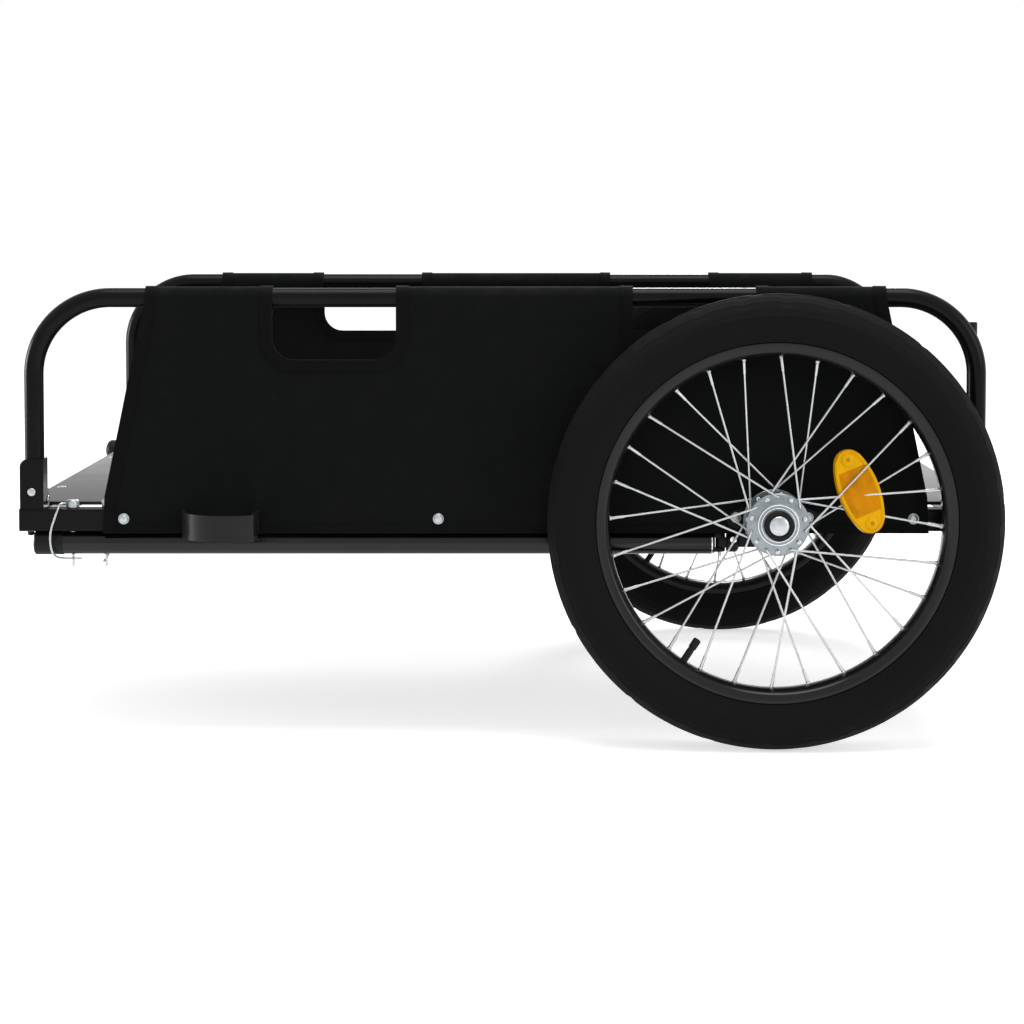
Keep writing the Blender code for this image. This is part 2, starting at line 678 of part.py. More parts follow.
def axle_plate(side):
    """The two-bolt steel flange outside the fabric, with the sleeve through the side tube that takes the axle."""
    reach, end, middle = AXLE_PLATE_BOLTS / 2, AXLE_PLATE_END_RADIUS, AXLE_PLATE_MIDDLE_RADIUS
    lean = math.degrees(math.acos((middle - end) / reach))
    outline = arc((AXLE_X + reach, 0), end, -lean, lean, 5) + arc((AXLE_X, 0), middle, lean, 180 - lean, 4)
    outline += arc((AXLE_X - reach, 0), end, 180 - lean, 180 + lean, 5)
    outline += arc((AXLE_X, 0), middle, 180 + lean, 360 - lean, 4)
    place = upright(side, (PLATE_INNER + PLATE_OUTER) / 2, WHEEL_RADIUS)
    sheet = plate("axle_plate_" + side_name(side), outline, AXLE_PLATE, PAINT, place)
    sleeve = rod("sleeve", (AXLE_X, side * RECEIVER_END, WHEEL_RADIUS),
                 (AXLE_X, side * (PLATE_INNER + AXLE_PLATE / 2), WHEEL_RADIUS), RECEIVER_RADIUS, 16)
    weld(sheet, sleeve)
    cut(sheet, crosswise(AXLE_X, WHEEL_RADIUS, side, RECEIVER_END, PLATE_OUTER, AXLE_RADIUS + PIN_PLAY, 16))


def side_guard_hoop():
    """The bent band that stands out of the left side ahead of the wheel: a round nose and a straight return."""
    centre_x, centre_y = HOOP_FRONT + HOOP_ARC, SIDE_FACE + HOOP_REACH - HOOP_ARC
    last_angle = math.degrees(math.acos((HOOP_REAR - centre_x) / HOOP_ARC))
    nose = arc((centre_x, centre_y), HOOP_ARC, 180, last_angle, 9)
    path = [(HOOP_FRONT, PLATE_INNER)] + nose + [(HOOP_REAR, PLATE_INNER)]
    mesh = bpy.data.meshes.new("side_guard_hoop")
    mesh.from_pydata([(x, -y, HOOP_FOOT) for x, y in path], [(i, i + 1) for i in range(len(path) - 1)], [])
    hoop = link("side_guard_hoop", mesh, PAINT)
    rise = hoop.modifiers.new("rise", "SCREW")
    rise.angle = 0
    rise.screw_offset = HOOP_HEIGHT
    rise.steps = rise.render_steps = 1
    rise.use_merge_vertices = False
    sheet = hoop.modifiers.new("sheet", "SOLIDIFY")
    sheet.thickness = HOOP_SHEET
    sheet.use_even_offset = True


def corner_lens():
    """The small domed lens that stands ahead of the right front corner on a stem."""
    radius, reach, depth, stem = LENS_RADIUS, LENS_REACH, LENS_DEPTH, LENS_STEM_RADIUS
    face = BASE_LENGTH / 2 + GAP
    profile = [(0.0, reach), (radius * 0.5, reach - depth * 0.05), (radius * 0.85, reach - depth * 0.25),
               (radius, reach - depth * 0.55), (radius, reach - depth), (stem, reach - depth), (stem, 0.0), (0.0, 0.0)]
    turned("front_corner_lens", profile, (-face, TUBE_Y, BASE_HEIGHT + LENS_RISE), (-1, 0, 0), 16, PLASTIC)


def flag_holder():
    """The open tube for a flag pole, inside the left rear leg, with two bands round the leg."""
    y = -(RAIL_Y - RAIL_RADIUS - GAP - FLAG_BAND / 2 - FLAG_RADIUS)
    profile = [(0.0, FLAG_FOOT), (FLAG_RADIUS, FLAG_FOOT), (FLAG_RADIUS, FLAG_TOP), (FLAG_BORE, FLAG_TOP),
               (FLAG_BORE, FLAG_FOOT + FLAG_FLOOR), (0.0, FLAG_FOOT + FLAG_FLOOR)]
    tube = turned("flag_holder", profile, (FLAG_X, y, 0), (0, 0, 1), 12, PLASTIC)
    inner = RAIL_RADIUS + GAP
    for rise in FLAG_BAND_RISES:
        band = ring(inner, inner + FLAG_BAND, 0.0, FLAG_BAND_HEIGHT)
        weld(tube, turned("band", band, (RAIL_LENGTH / 2, -RAIL_Y, FLAG_FOOT + rise), (0, 0, 1), 12))
    bore = rod("bore", (FLAG_X, y, FLAG_FOOT + FLAG_FLOOR), (FLAG_X, y, FLAG_TOP + PAST), FLAG_BORE - GAP / 2, 12)
    return cut(tube, bore)


def wheel_point(side, radius, angle, out):
    """A point on a wheel: the angle in degrees from the top towards the rear, and the distance out of its plane."""
    turn = math.radians(angle)
    return Vector((AXLE_X + radius * math.sin(turn), side * (WHEEL_Y + out), WHEEL_RADIUS + radius * math.cos(turn)))


def wheel_turned(name, side, profile, steps, material=None):
    """A solid of revolution about a wheel's axle, with distances taken outward from the wheel's plane."""
    return turned(name, profile, (AXLE_X, side * WHEEL_Y, WHEEL_RADIUS), (0, side, 0), steps, material)


def mirrored(half):
    """A closed ring profile from the half of it at positive distances."""
    return half + [(radius, -out) for radius, out in reversed(half) if out > GAP]


def tyre(side):
    """The tyre, a shell that is open towards the rim, with its beads between the rim's flanges."""
    crown = arc((TYRE_MIDDLE, 0), TYRE_HALF_WIDTH, 0, 108, 3)
    lining = arc((TYRE_MIDDLE, 0), TYRE_HALF_WIDTH - TYRE_WALL, 100, 0, 2)
    seat, bead = RIM_FLANGE_RADIUS + GAP, RIM_HALF_WIDTH - RIM_WALL - GAP
    half = crown + [(seat, RIM_HALF_WIDTH + BEAD_OVERHANG), (seat, bead), (BEAD_RADIUS, bead),
                    (BEAD_RADIUS, bead - TYRE_WALL)] + lining
    return wheel_turned("tyre_" + side_name(side), side, mirrored(half), WHEEL_SIDES, RUBBER)


def rim(side):
    """The single-walled rim, with a hole for the valve."""
    outer = [(RIM_FLANGE_RADIUS, RIM_HALF_WIDTH), (RIM_SHOULDER_RADIUS, RIM_HALF_WIDTH),
             (RIM_INNER_RADIUS, RIM_WELL_HALF_WIDTH)]
    inner = [(RIM_INNER_RADIUS + RIM_WALL, RIM_WELL_HALF_WIDTH - RIM_WALL / 2),
             (RIM_SHOULDER_RADIUS + RIM_WALL / 2, RIM_HALF_WIDTH - RIM_WALL),
             (RIM_FLANGE_RADIUS, RIM_HALF_WIDTH - RIM_WALL)]
    hoop = wheel_turned("rim_" + side_name(side), side, mirrored(inner + outer), WHEEL_SIDES, GLOSS)
    low, high = RIM_INNER_RADIUS - PAST, RIM_SHOULDER_RADIUS
    hole = rod("hole", wheel_point(side, low, VALVE_ANGLE, 0), wheel_point(side, high, VALVE_ANGLE, 0),
               VALVE_RADIUS + GAP, 10)
    return cut(hoop, hole)


def inner_tube(side):
    """The inner tube with its valve stem. The stem's bore opens into the tube."""
    circle = arc((TYRE_MIDDLE, 0), TUBE_HALF_WIDTH, 0, 300, 5)
    hollow = arc((TYRE_MIDDLE, 0), TUBE_HALF_WIDTH - INNER_TUBE_WALL, 0, 300, 5)
    tube = wheel_turned("inner_tube_" + side_name(side), side, circle, INNER_TUBE_SIDES, RUBBER)
    tip = wheel_point(side, VALVE_TIP, VALVE_ANGLE, 0)
    root = TYRE_MIDDLE - TUBE_HALF_WIDTH + PAST
    weld(tube, rod("stem", tip, wheel_point(side, root, VALVE_ANGLE, 0), VALVE_RADIUS, 8))
    bore = rod("bore", wheel_point(side, VALVE_TIP - PAST, VALVE_ANGLE, 0),
               wheel_point(side, TYRE_MIDDLE, VALVE_ANGLE, 0), VALVE_BORE, 8)
    return cut(tube, wheel_turned("hollow", side, hollow, INNER_TUBE_SIDES), bore)


def spoke_lines(side, flange, lean):
    """The rim and hub points of a quarter of the spokes: those from one flange that lean one way."""
    cross = SPOKE_CROSS_HOLES * 360 / SPOKE_COUNT
    out = HUB_FLANGE_SPACING / 2 + HUB_FLANGE / 2 + GAP + SPOKE_RADIUS + SPOKE_LIFT
    first = (0 if flange > 0 else 1) + (0 if lean > 0 else 2)
    lines = []
    for k in range(first, SPOKE_COUNT, 4):
        angle = SPOKE_PHASE + k * 360 / SPOKE_COUNT
        rim_end = wheel_point(side, RIM_INNER_RADIUS - NIPPLE_SEAT, angle, flange * NIPPLE_SPREAD)
        lines.append((rim_end, wheel_point(side, SPOKE_CIRCLE, angle + lean * cross, flange * out)))
    return lines


def spokes(side, flange):
    """The spokes of one flange with their nipples. Those that lean forward touch those that lean back."""
    forward, back = spoke_lines(side, flange, 1), spoke_lines(side, flange, -1)
    nipples = [(rim_end, rim_end + (hub_end - rim_end).normalized() * NIPPLE_LENGTH)
               for rim_end, hub_end in forward + back]
    name = f"spokes_{'outer' if flange > 0 else 'inner'}_{side_name(side)}"
    laced = rods(name, forward, SPOKE_RADIUS, SPOKE_SIDES, ZINC)
    return weld(laced, rods("back", back, SPOKE_RADIUS, SPOKE_SIDES),
                rods("nipples", nipples, NIPPLE_RADIUS, SPOKE_SIDES))


def bearing(side, end):
    """A ball bearing in one end of a hub, as a closed cartridge."""
    low = HUB_END - BEARING_WIDTH if end > 0 else -HUB_END
    name = f"bearing_{'outer' if end > 0 else 'inner'}_{side_name(side)}"
    return wheel_turned(name, side, ring(AXLE_RADIUS + PIN_PLAY, BEARING_RADIUS, low, low + BEARING_WIDTH), 16, ZINC)


def hub_shell(side):
    """The hub with its two flanges and a seat for a bearing in each end."""
    face_out = HUB_FLANGE_SPACING / 2 + HUB_FLANGE / 2
    face_in = HUB_FLANGE_SPACING / 2 - HUB_FLANGE / 2
    seat = HUB_END - BEARING_WIDTH - GAP
    upper = [(HUB_BORE_RADIUS, seat), (BEARING_RADIUS + GAP, seat), (BEARING_RADIUS + GAP, HUB_END),
             (HUB_END_RADIUS, HUB_END), (HUB_END_RADIUS, face_out), (HUB_FLANGE_RADIUS, face_out),
             (HUB_FLANGE_RADIUS, face_in), (HUB_BARREL_RADIUS, face_in)]
    return wheel_turned("hub_shell_" + side_name(side), side, mirrored(upper), 16, CHROME)


def spoke_reflector(side):
    """The amber reflector between the two layers of spokes, against the outer one."""
    end, half_w = REFLECTOR_END_RADIUS, REFLECTOR_WIDTH / 2
    reach = REFLECTOR_LENGTH / 2 - end
    # The long sides are arcs that run smoothly into the two round ends
    side_radius = (reach ** 2 + half_w ** 2 - end ** 2) / (2 * (half_w - end))
    drop = side_radius - half_w
    lean = math.degrees(math.atan2(drop, reach))
    outline = arc((reach, 0), end, -lean, lean, 4) + arc((0, -drop), side_radius, lean, 180 - lean, 6)[1:-1]
    outline += arc((-reach, 0), end, 180 - lean, 180 + lean, 4)
    outline += arc((0, drop), side_radius, 180 + lean, 360 - lean, 6)[1:-1]
    place = Matrix.Translation(wheel_point(side, REFLECTOR_RADIUS, REFLECTOR_ANGLE, REFLECTOR_OUT))
    place = place @ Matrix.Rotation(math.radians(REFLECTOR_ANGLE), 4, "Y")
    place = place @ Matrix.Rotation(side * math.radians(REFLECTOR_LEAN) + math.radians(90), 4, "X")
    return plate("reflector_" + side_name(side), outline, REFLECTOR_THICKNESS, AMBER, place)


def axle(side):
    """The quick release axle, with a pocket for the button in its head and a bore for the button's stem."""
    stem = BUTTON_STEM_RADIUS + PIN_PLAY
    bore_end = BUTTON_BASE - BUTTON_STEM - BUTTON_TRAVEL - PIN_PLAY
    tip = RECEIVER_END - AXLE_PROUD - WHEEL_Y
    profile = [(0.0, bore_end), (stem, bore_end), (stem, POCKET_FLOOR), (BUTTON_RADIUS + PIN_PLAY, POCKET_FLOOR),
               (BUTTON_RADIUS + PIN_PLAY, HEAD_OUTER), (AXLE_HEAD_RADIUS, HEAD_OUTER), (AXLE_HEAD_RADIUS, HEAD_INNER),
               (AXLE_RADIUS, HEAD_INNER), (AXLE_RADIUS, tip + AXLE_PROUD / 2), (AXLE_RADIUS * 0.7, tip), (0.0, tip)]
    return wheel_turned("axle_" + side_name(side), side, profile, 16, PLASTIC)


def release_button(side):
    """The domed button in the axle's head."""
    dome, radius = BUTTON_DOME, BUTTON_RADIUS
    profile = [(0.0, BUTTON_BASE + dome), (radius * 0.55, BUTTON_BASE + dome * 0.85),
               (radius, BUTTON_BASE + dome * 0.3), (radius, BUTTON_BASE), (BUTTON_STEM_RADIUS, BUTTON_BASE),
               (BUTTON_STEM_RADIUS, BUTTON_BASE - BUTTON_STEM), (0.0, BUTTON_BASE - BUTTON_STEM)]
    return wheel_turned("release_button_" + side_name(side), side, profile, 16, CHROME)


def wheel(side):
    """One wheel on its axle, hung on the joints' empties."""
    name = side_name(side)
    spinning = [tyre(side), rim(side), inner_tube(side), hub_shell(side), spoke_reflector(side)]
    for end in (-1, 1):
        spinning += [spokes(side, end), bearing(side, end)]
    centre, line = (AXLE_X, side * WHEEL_Y, WHEEL_RADIUS), (0, side, 0)
    hang(spinning, "wheel_spin_" + name, centre, line)
    hang([axle(side)], "axle_slide_" + name, centre, line)
    hang([release_button(side)], "button_press_" + name, centre, line)


def side_frame(side):
    """One folding side, hung on its fold axis."""
    pieces = [side_rail(side), fabric_panel(side)]
    if side < 0:
        pieces.append(flag_holder())
    hang(pieces, "fold_" + side_name(side), (0, side * HINGE_Y, HINGE_HEIGHT), (side, 0, 0))


def tow_bar():
    """The straight bar under the left side tube, with the cap on its front end."""
    y, z = -RAIL_Y, TOW_BAR_HEIGHT
    bar = rod("tow_bar", (TOW_BAR_FRONT, y, z), (TOW_BAR_REAR, y, z), TOW_BAR_RADIUS, 16, PAINT)
    bore = rod("bore", (TOW_BAR_FRONT - PAST, y, z), (TOW_BAR_REAR + PAST, y, z), TOW_BAR_RADIUS - TOW_BAR_WALL, 16)
    cut(bar, bore)
    for x, radius in ((TOW_PIN_X, TOW_PIN_RADIUS), (LOCK_PIN_X, LOCK_PIN_RADIUS)):
        cut(bar, upright_hole(x, z - TOW_BAR_RADIUS, z + TOW_BAR_RADIUS, radius))
    inner = TOW_BAR_RADIUS + GAP
    outer, end = inner + BAR_CAP_WALL, -GAP - BAR_CAP_WALL
    profile = [(0.0, end), (outer, end), (outer, BAR_CAP_LENGTH), (inner, BAR_CAP_LENGTH), (inner, -GAP), (0.0, -GAP)]
    turned("tow_bar_cap", profile, (TOW_BAR_FRONT, y, z), (1, 0, 0), 16, PLASTIC)


def upright_pin(name, x, radius, head_radius):
    """A headed pin down through the side tube and the tow bar, with a thin tip below them."""
    top = PIN_TOP + PIN_HEAD
    profile = [(0.0, top), (head_radius * 0.8, top), (head_radius, top - PIN_HEAD / 4), (head_radius, PIN_TOP),
               (radius, PIN_TOP), (radius, PIN_TIP_TOP + PIN_TIP_RADIUS), (PIN_TIP_RADIUS, PIN_TIP_TOP),
               (PIN_TIP_RADIUS, PIN_FOOT), (0.0, PIN_FOOT)]
    return turned(name, profile, (x, -RAIL_Y, 0), (0, 0, 1), 10, ZINC)


def pin_latch(name, x, path):
    """The wire latch of a pin, from its path as seen from the middle of the pin's head: out of the head, down past the
    side tube and the tow bar, and back across the pin's tip."""
    return wire(name, [(x + dx, dy - RAIL_Y, LATCH_HEIGHT + dz) for dx, dy, dz in path], WIRE_RADIUS, 1, ZINC)


def hitch():
    """The fork in the bar's rear end, and the coupler that swivels in it on an upright pin."""
    y, z = -RAIL_Y, TOW_BAR_HEIGHT
    collar = TOW_BAR_REAR + GAP
    face = collar + FORK_COLLAR
    fork = rod("hitch_fork", (collar, y, z), (face, y, z), FORK_COLLAR_RADIUS, 16, CHROME)
    plug = TOW_BAR_RADIUS - TOW_BAR_WALL - GAP
    ears = box("ears", (face - FORK_COLLAR / 2, y - FORK_EAR_RADIUS, z - FORK_HEIGHT / 2),
               (PIVOT_X, y + FORK_EAR_RADIUS, z + FORK_HEIGHT / 2))
    ends = rod("ends", (PIVOT_X, y, z - FORK_HEIGHT / 2 + SLIVER), (PIVOT_X, y, z + FORK_HEIGHT / 2 - SLIVER),
               FORK_EAR_RADIUS - SLIVER, 16)
    weld(fork, rod("plug", (TOW_BAR_REAR - FORK_INSERT, y, z), (face - FORK_COLLAR / 2, y, z), plug, 12), ears, ends)
    slot = box("slot", (face, y - FORK_COLLAR_RADIUS, z - FORK_SLOT / 2),
               (PIVOT_X + FORK_EAR_RADIUS + PAST, y + FORK_COLLAR_RADIUS, z + FORK_SLOT / 2))
    hole = rod("hole", (PIVOT_X, y, z - FORK_HEIGHT), (PIVOT_X, y, z + FORK_HEIGHT), HITCH_PIN_RADIUS + PIN_PLAY, 10)
    cut(fork, slot, hole)
    top = z + FORK_HEIGHT / 2 + GAP
    profile = [(0.0, top + 0.0015), (0.003, top + 0.0015), (0.003, top), (HITCH_PIN_RADIUS, top),
               (HITCH_PIN_RADIUS, HITCH_PIN_FOOT), (0.0, HITCH_PIN_FOOT)]
    turned("hitch_pin", profile, (PIVOT_X, y, 0), (0, 0, 1), 8, ZINC)
    return [hitch_coupler(y, z)] + [cross_bolt(y, z)]


def hitch_coupler(y, z):
    """The rounded coupler with its tongue between the fork's ears, and the flat arm behind it."""
    radius, length, half = COUPLER_RADIUS, COUPLER_LENGTH, FORK_SLOT / 2 - GAP
    profile = [(0.0, 0.0), (radius * 0.85, 0.0), (radius, length * 0.15), (radius, length * 0.65),
               (radius * 0.75, length * 0.92), (0.0, length)]
    face = PIVOT_X + COUPLER_FACE
    body = turned("hitch_coupler", profile, (face, y, z), (1, 0, 0), 16, PLASTIC)
    tongue = box("tongue", (PIVOT_X, y - COUPLER_TONGUE_RADIUS, z - half),
                 (face + length / 4, y + COUPLER_TONGUE_RADIUS, z + half))
    end = rod("end", (PIVOT_X, y, z - half + SLIVER), (PIVOT_X, y, z + half - SLIVER),
              COUPLER_TONGUE_RADIUS + SLIVER, 12)
    foot = z - COUPLER_ARM_FOOT
    arm = box("arm", (face + length * 0.8, y - COUPLER_ARM_WIDTH / 2, foot),
              (face + length + COUPLER_ARM_LENGTH, y + COUPLER_ARM_WIDTH / 2, foot + COUPLER_ARM_HEIGHT))
    weld(body, tongue, end, arm)
    pin = rod("hole", (PIVOT_X, y, z - FORK_SLOT), (PIVOT_X, y, z + FORK_SLOT), HITCH_PIN_RADIUS + PIN_PLAY, 10)
    bolt = rod("hole", (face + length / 2, y - 2 * radius, z + CROSS_BOLT_RISE),
               (face + length / 2, y + 2 * radius, z + CROSS_BOLT_RISE), CROSS_BOLT_RADIUS + PIN_PLAY, 8)
    return cut(body, pin, bolt)


def cross_bolt(y, z):
    """The bright bolt across the coupler."""
    half = COUPLER_RADIUS + GAP
    upper = [(0.0, half + 0.0012), (CROSS_BOLT_HEAD_RADIUS, half + 0.0012), (CROSS_BOLT_HEAD_RADIUS, half),
             (CROSS_BOLT_RADIUS, half)]
    profile = upper + [(radius, -height) for radius, height in reversed(upper)]
    x = PIVOT_X + COUPLER_FACE + COUPLER_LENGTH / 2
    return turned("coupler_bolt", profile, (x, y, z + CROSS_BOLT_RISE), (0, -1, 0), 8, CHROME)


def base_frame():
    """Everything that stands still."""
    cross_tubes()
    floor_board()
    hinge_pins()
    for side in (-1, 1):
        side_tube(side)
        fabric_skirt(side)
        axle_plate(side)
        for end in (-1, 1):
            corner_bracket(side, end)
    side_guard_hoop()
    corner_lens()
    tow_bar()
    upright_pin("lock_pin", LOCK_PIN_X, LOCK_PIN_RADIUS, LOCK_PIN_HEAD_RADIUS)


def main():
    """Builds the trailer."""
    base_frame()
    for side in (-1, 1):
        side_frame(side)
        wheel(side)
    pin_head = (TOW_PIN_X, -RAIL_Y, LATCH_HEIGHT)
    hang([upright_pin("tow_pin", TOW_PIN_X, TOW_PIN_RADIUS, TOW_PIN_HEAD_RADIUS)], "tow_pin_lift", pin_head, (0, 0, 1))
    hang([pin_latch("tow_pin_latch", TOW_PIN_X, TOW_LATCH_PATH)], "tow_pin_latch_swing", pin_head, (-1, 0, 0))
    lock_latch = pin_latch("lock_pin_latch", LOCK_PIN_X, LOCK_LATCH_PATH)
    hang([lock_latch], "lock_pin_latch_swing", (LOCK_PIN_X, -RAIL_Y, LATCH_HEIGHT), (1, 0, 0))
    hang(hitch(), "coupler_swivel", (PIVOT_X, -RAIL_Y, TOW_BAR_HEIGHT), (0, 0, 1))


main()
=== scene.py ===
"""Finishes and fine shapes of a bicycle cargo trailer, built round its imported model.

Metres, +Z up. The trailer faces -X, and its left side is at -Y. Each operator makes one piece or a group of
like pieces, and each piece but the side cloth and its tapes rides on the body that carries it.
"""

import math

import bmesh
import bpy
from mathutils import Matrix, Vector, noise


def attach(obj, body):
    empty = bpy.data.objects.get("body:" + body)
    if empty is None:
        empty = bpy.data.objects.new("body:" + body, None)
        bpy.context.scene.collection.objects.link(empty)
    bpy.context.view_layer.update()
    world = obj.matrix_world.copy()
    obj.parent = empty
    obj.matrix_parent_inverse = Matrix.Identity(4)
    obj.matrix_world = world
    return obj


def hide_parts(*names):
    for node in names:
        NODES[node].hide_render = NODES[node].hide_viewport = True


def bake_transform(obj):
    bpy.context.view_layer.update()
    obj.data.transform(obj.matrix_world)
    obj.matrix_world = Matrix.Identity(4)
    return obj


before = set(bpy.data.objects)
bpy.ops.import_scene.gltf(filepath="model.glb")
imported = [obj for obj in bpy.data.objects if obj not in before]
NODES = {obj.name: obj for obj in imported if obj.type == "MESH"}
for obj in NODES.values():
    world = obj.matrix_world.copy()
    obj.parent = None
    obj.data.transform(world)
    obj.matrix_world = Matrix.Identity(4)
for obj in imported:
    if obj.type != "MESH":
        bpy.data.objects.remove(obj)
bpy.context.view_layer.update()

bl_info = {
    "name": "Bicycle cargo trailer",
    "version": (1, 0, 0),
    "blender": (4, 5, 0),
    "location": "3D View > Sidebar > Trailer",
    "description": "Dresses the packed trailer with fabric, fine shapes, fasteners and finishes",
    "category": "Add Mesh",
}

SIDES = ((-1, "left"), (1, "right"))
ENDS = ((-1, "front"), (1, "rear"))
BASE = "base_frame"

# Sizes and places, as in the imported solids. Those of the cut-outs, rails, bar, pins and reflectors are
# set to the photo and differ a little from the solids' own
RAIL_Y = 0.300
RAIL_TOP = 0.3952
RAIL_HALF = 0.4175
RAIL_BEND = 0.068
RAIL_RADIUS = 0.0086
LEG_FOOT = 0.2098
HINGE_Y = 0.2907
HINGE_Z = 0.2145
BRACKET_X = 0.4185
BRACKET_HALF = 0.0105
BRACKET_BOLT_Z = 0.2235
SLEEVE_RADIUS = 0.0047
HINGE_PIN_RADIUS = 0.0025
HINGE_HEAD_RADIUS = 0.004
TUBE_FACE = 0.311
TUBE_INNER = 0.291
TUBE_FOOT = 0.1885
TUBE_TOP = 0.2085
TUBE_END = 0.430
BED_TOP = 0.2123
BED_HALF_X = 0.429
BED_HALF_Y = 0.283
BED_THICKNESS = 0.0031
RIVET_X = (-0.419, -0.140, 0.140, 0.419)
RIVET_Y = 0.155
SHEET_Y = 0.3121
SHEET_FOOT = 0.187
SHEET_FOLD = 0.2195
SHEET_X = 0.0095
SHEET_FOOT_HALF = 0.3649
SHEET_FOLD_HALF = 0.3632
SHEET_TOP_HALF = 0.3267
CASING_RADIUS = 0.0094
CASING_SEAM_Z = 0.374
CASING_TAIL = ((0.0032, 0.3815), (0.0011, 0.3785), (0.0008, 0.3705))
CUTOUT_X = (-0.1508, 0.1672)
CUTOUT_HALF = 0.05475
CUTOUT_FOOT = 0.3406
CUTOUT_CORNER = 0.020
FABRIC_BOLT_X = (-0.337, -0.059, 0.083, 0.361)
FABRIC_BOLT_Z = 0.200
PLATE_OUTER = 0.3162
PLATE_BOLT_X = (0.2038, 0.2677)
PLATE_BOLT_Z = 0.2015
LENS_Y = 0.301
LENS_Z = 0.2072
AXLE_X = 0.237
WHEEL_Y = 0.340
WHEEL_RADIUS = 0.200
TYRE_HALF = 0.0225
TYRE_CENTRE = WHEEL_RADIUS - TYRE_HALF
HUB_END = 0.023
AXLE_TIP_Y = 0.276
RIM_EDGE = 0.158
RIM_SHOULDER = 0.150
RIM_INNER = 0.1455
RIM_HALF = 0.0135
RIM_WELL = 0.008
BEAD_FOOT = 0.1535
SPOKE_COUNT = 28
SPOKE_PHASE = 1.4
SPOKE_CIRCLE = 0.0236
SPOKE_TURN = 4 * 360 / SPOKE_COUNT
FLANGE_OUT = 0.018
FLANGE_HALF = 0.0013
FLANGE_RADIUS = 0.0273
VALVE_ANGLE = 213.5
VALVE_TIP = 0.123
REFLECTOR_ANGLE = 68.7
REFLECTOR_RADIUS = 0.0765
REFLECTOR_OUT = 0.0062
REFLECTOR_LEAN = 9.2
REFLECTOR_HALF = 0.0385
REFLECTOR_HALF_WIDTH = 0.0180
REFLECTOR_END = 0.0128
BAR_Z = 0.1776
BAR_RADIUS = 0.0102
BAR_FRONT = -0.4165
BAR_REAR = 0.183
PIN_SEAT = 0.2088
PIN_HEAD_TOP = 0.2158
PIN_NECK = 0.1668
PIN_TIP = 0.1565
LATCH_Z = 0.2123
TOW_PIN_X = -0.384
LOCK_PIN_X = -0.3546
PIVOT_X = 0.1905
TOW_LATCH = ((-0.006, 0.0, 0.0), (-0.009, 0.0, 0.0), (-0.0105, -0.007, 0.0),
             (-0.011, -0.0145, -0.004), (-0.0175, -0.0145, -0.0223), (-0.018, -0.0145, -0.0343),
             (-0.016, -0.0125, -0.0443), (-0.012, -0.0025, -0.0483), (-0.006, -0.0025, -0.0488),
             (0.008, -0.0025, -0.0488))
LOCK_LATCH = ((0.0041, 0.0, 0.0), (0.0061, 0.0, 0.0), (0.0066, 0.008, 0.0),
              (0.0066, 0.0125, -0.005), (0.0025, 0.0125, -0.0403), (-0.0005, 0.0105, -0.0483),
              (-0.0022, 0.004, -0.0513), (-0.0022, -0.002, -0.0513))
HOOP_FRONT = -0.283
HOOP_REAR = -0.217
HOOP_ARC = 0.0435
HOOP_REACH = 0.0615
HOOP_FOOT = 0.186
HOOP_TOP = 0.209
FLAG_X = 0.4157
FLAG_Y = 0.28645
FLAG_RADIUS = 0.0045
FLAG_FOOT = 0.300
FLAG_TOP = 0.373


# Settings

class TrailerColours(bpy.types.PropertyGroup):
    """Colours of the trailer's surfaces, as linear values."""

    paint: bpy.props.FloatVectorProperty(
        name="Frame paint", description="Powder coat of the tubes and brackets",
        subtype="COLOR", size=3, default=(0.0036, 0.0036, 0.0038))
    fabric: bpy.props.FloatVectorProperty(
        name="Side fabric", description="Coated woven cloth of the sides",
        subtype="COLOR", size=3, default=(0.0040, 0.0048, 0.0044))
    binding: bpy.props.FloatVectorProperty(
        name="Binding", description="Tape round the edges of the cloth",
        subtype="COLOR", size=3, default=(0.0024, 0.0028, 0.0026))
    board: bpy.props.FloatVectorProperty(
        name="Floor board", description="Top of the floor board",
        subtype="COLOR", size=3, default=(0.060, 0.060, 0.061))
    tyre: bpy.props.FloatVectorProperty(
        name="Tyre", description="Rubber of the tyres",
        subtype="COLOR", size=3, default=(0.0052, 0.0053, 0.0053))
    rim: bpy.props.FloatVectorProperty(
        name="Rim", description="Gloss finish of the rims",
        subtype="COLOR", size=3, default=(0.006, 0.006, 0.006))
    plastic: bpy.props.FloatVectorProperty(
        name="Black plastic", description="Caps, plugs and axle heads",
        subtype="COLOR", size=3, default=(0.0065, 0.0065, 0.0068))
    amber: bpy.props.FloatVectorProperty(
        name="Reflector", description="Amber plastic of the spoke reflectors",
        subtype="COLOR", size=3, default=(0.62, 0.235, 0.0015))


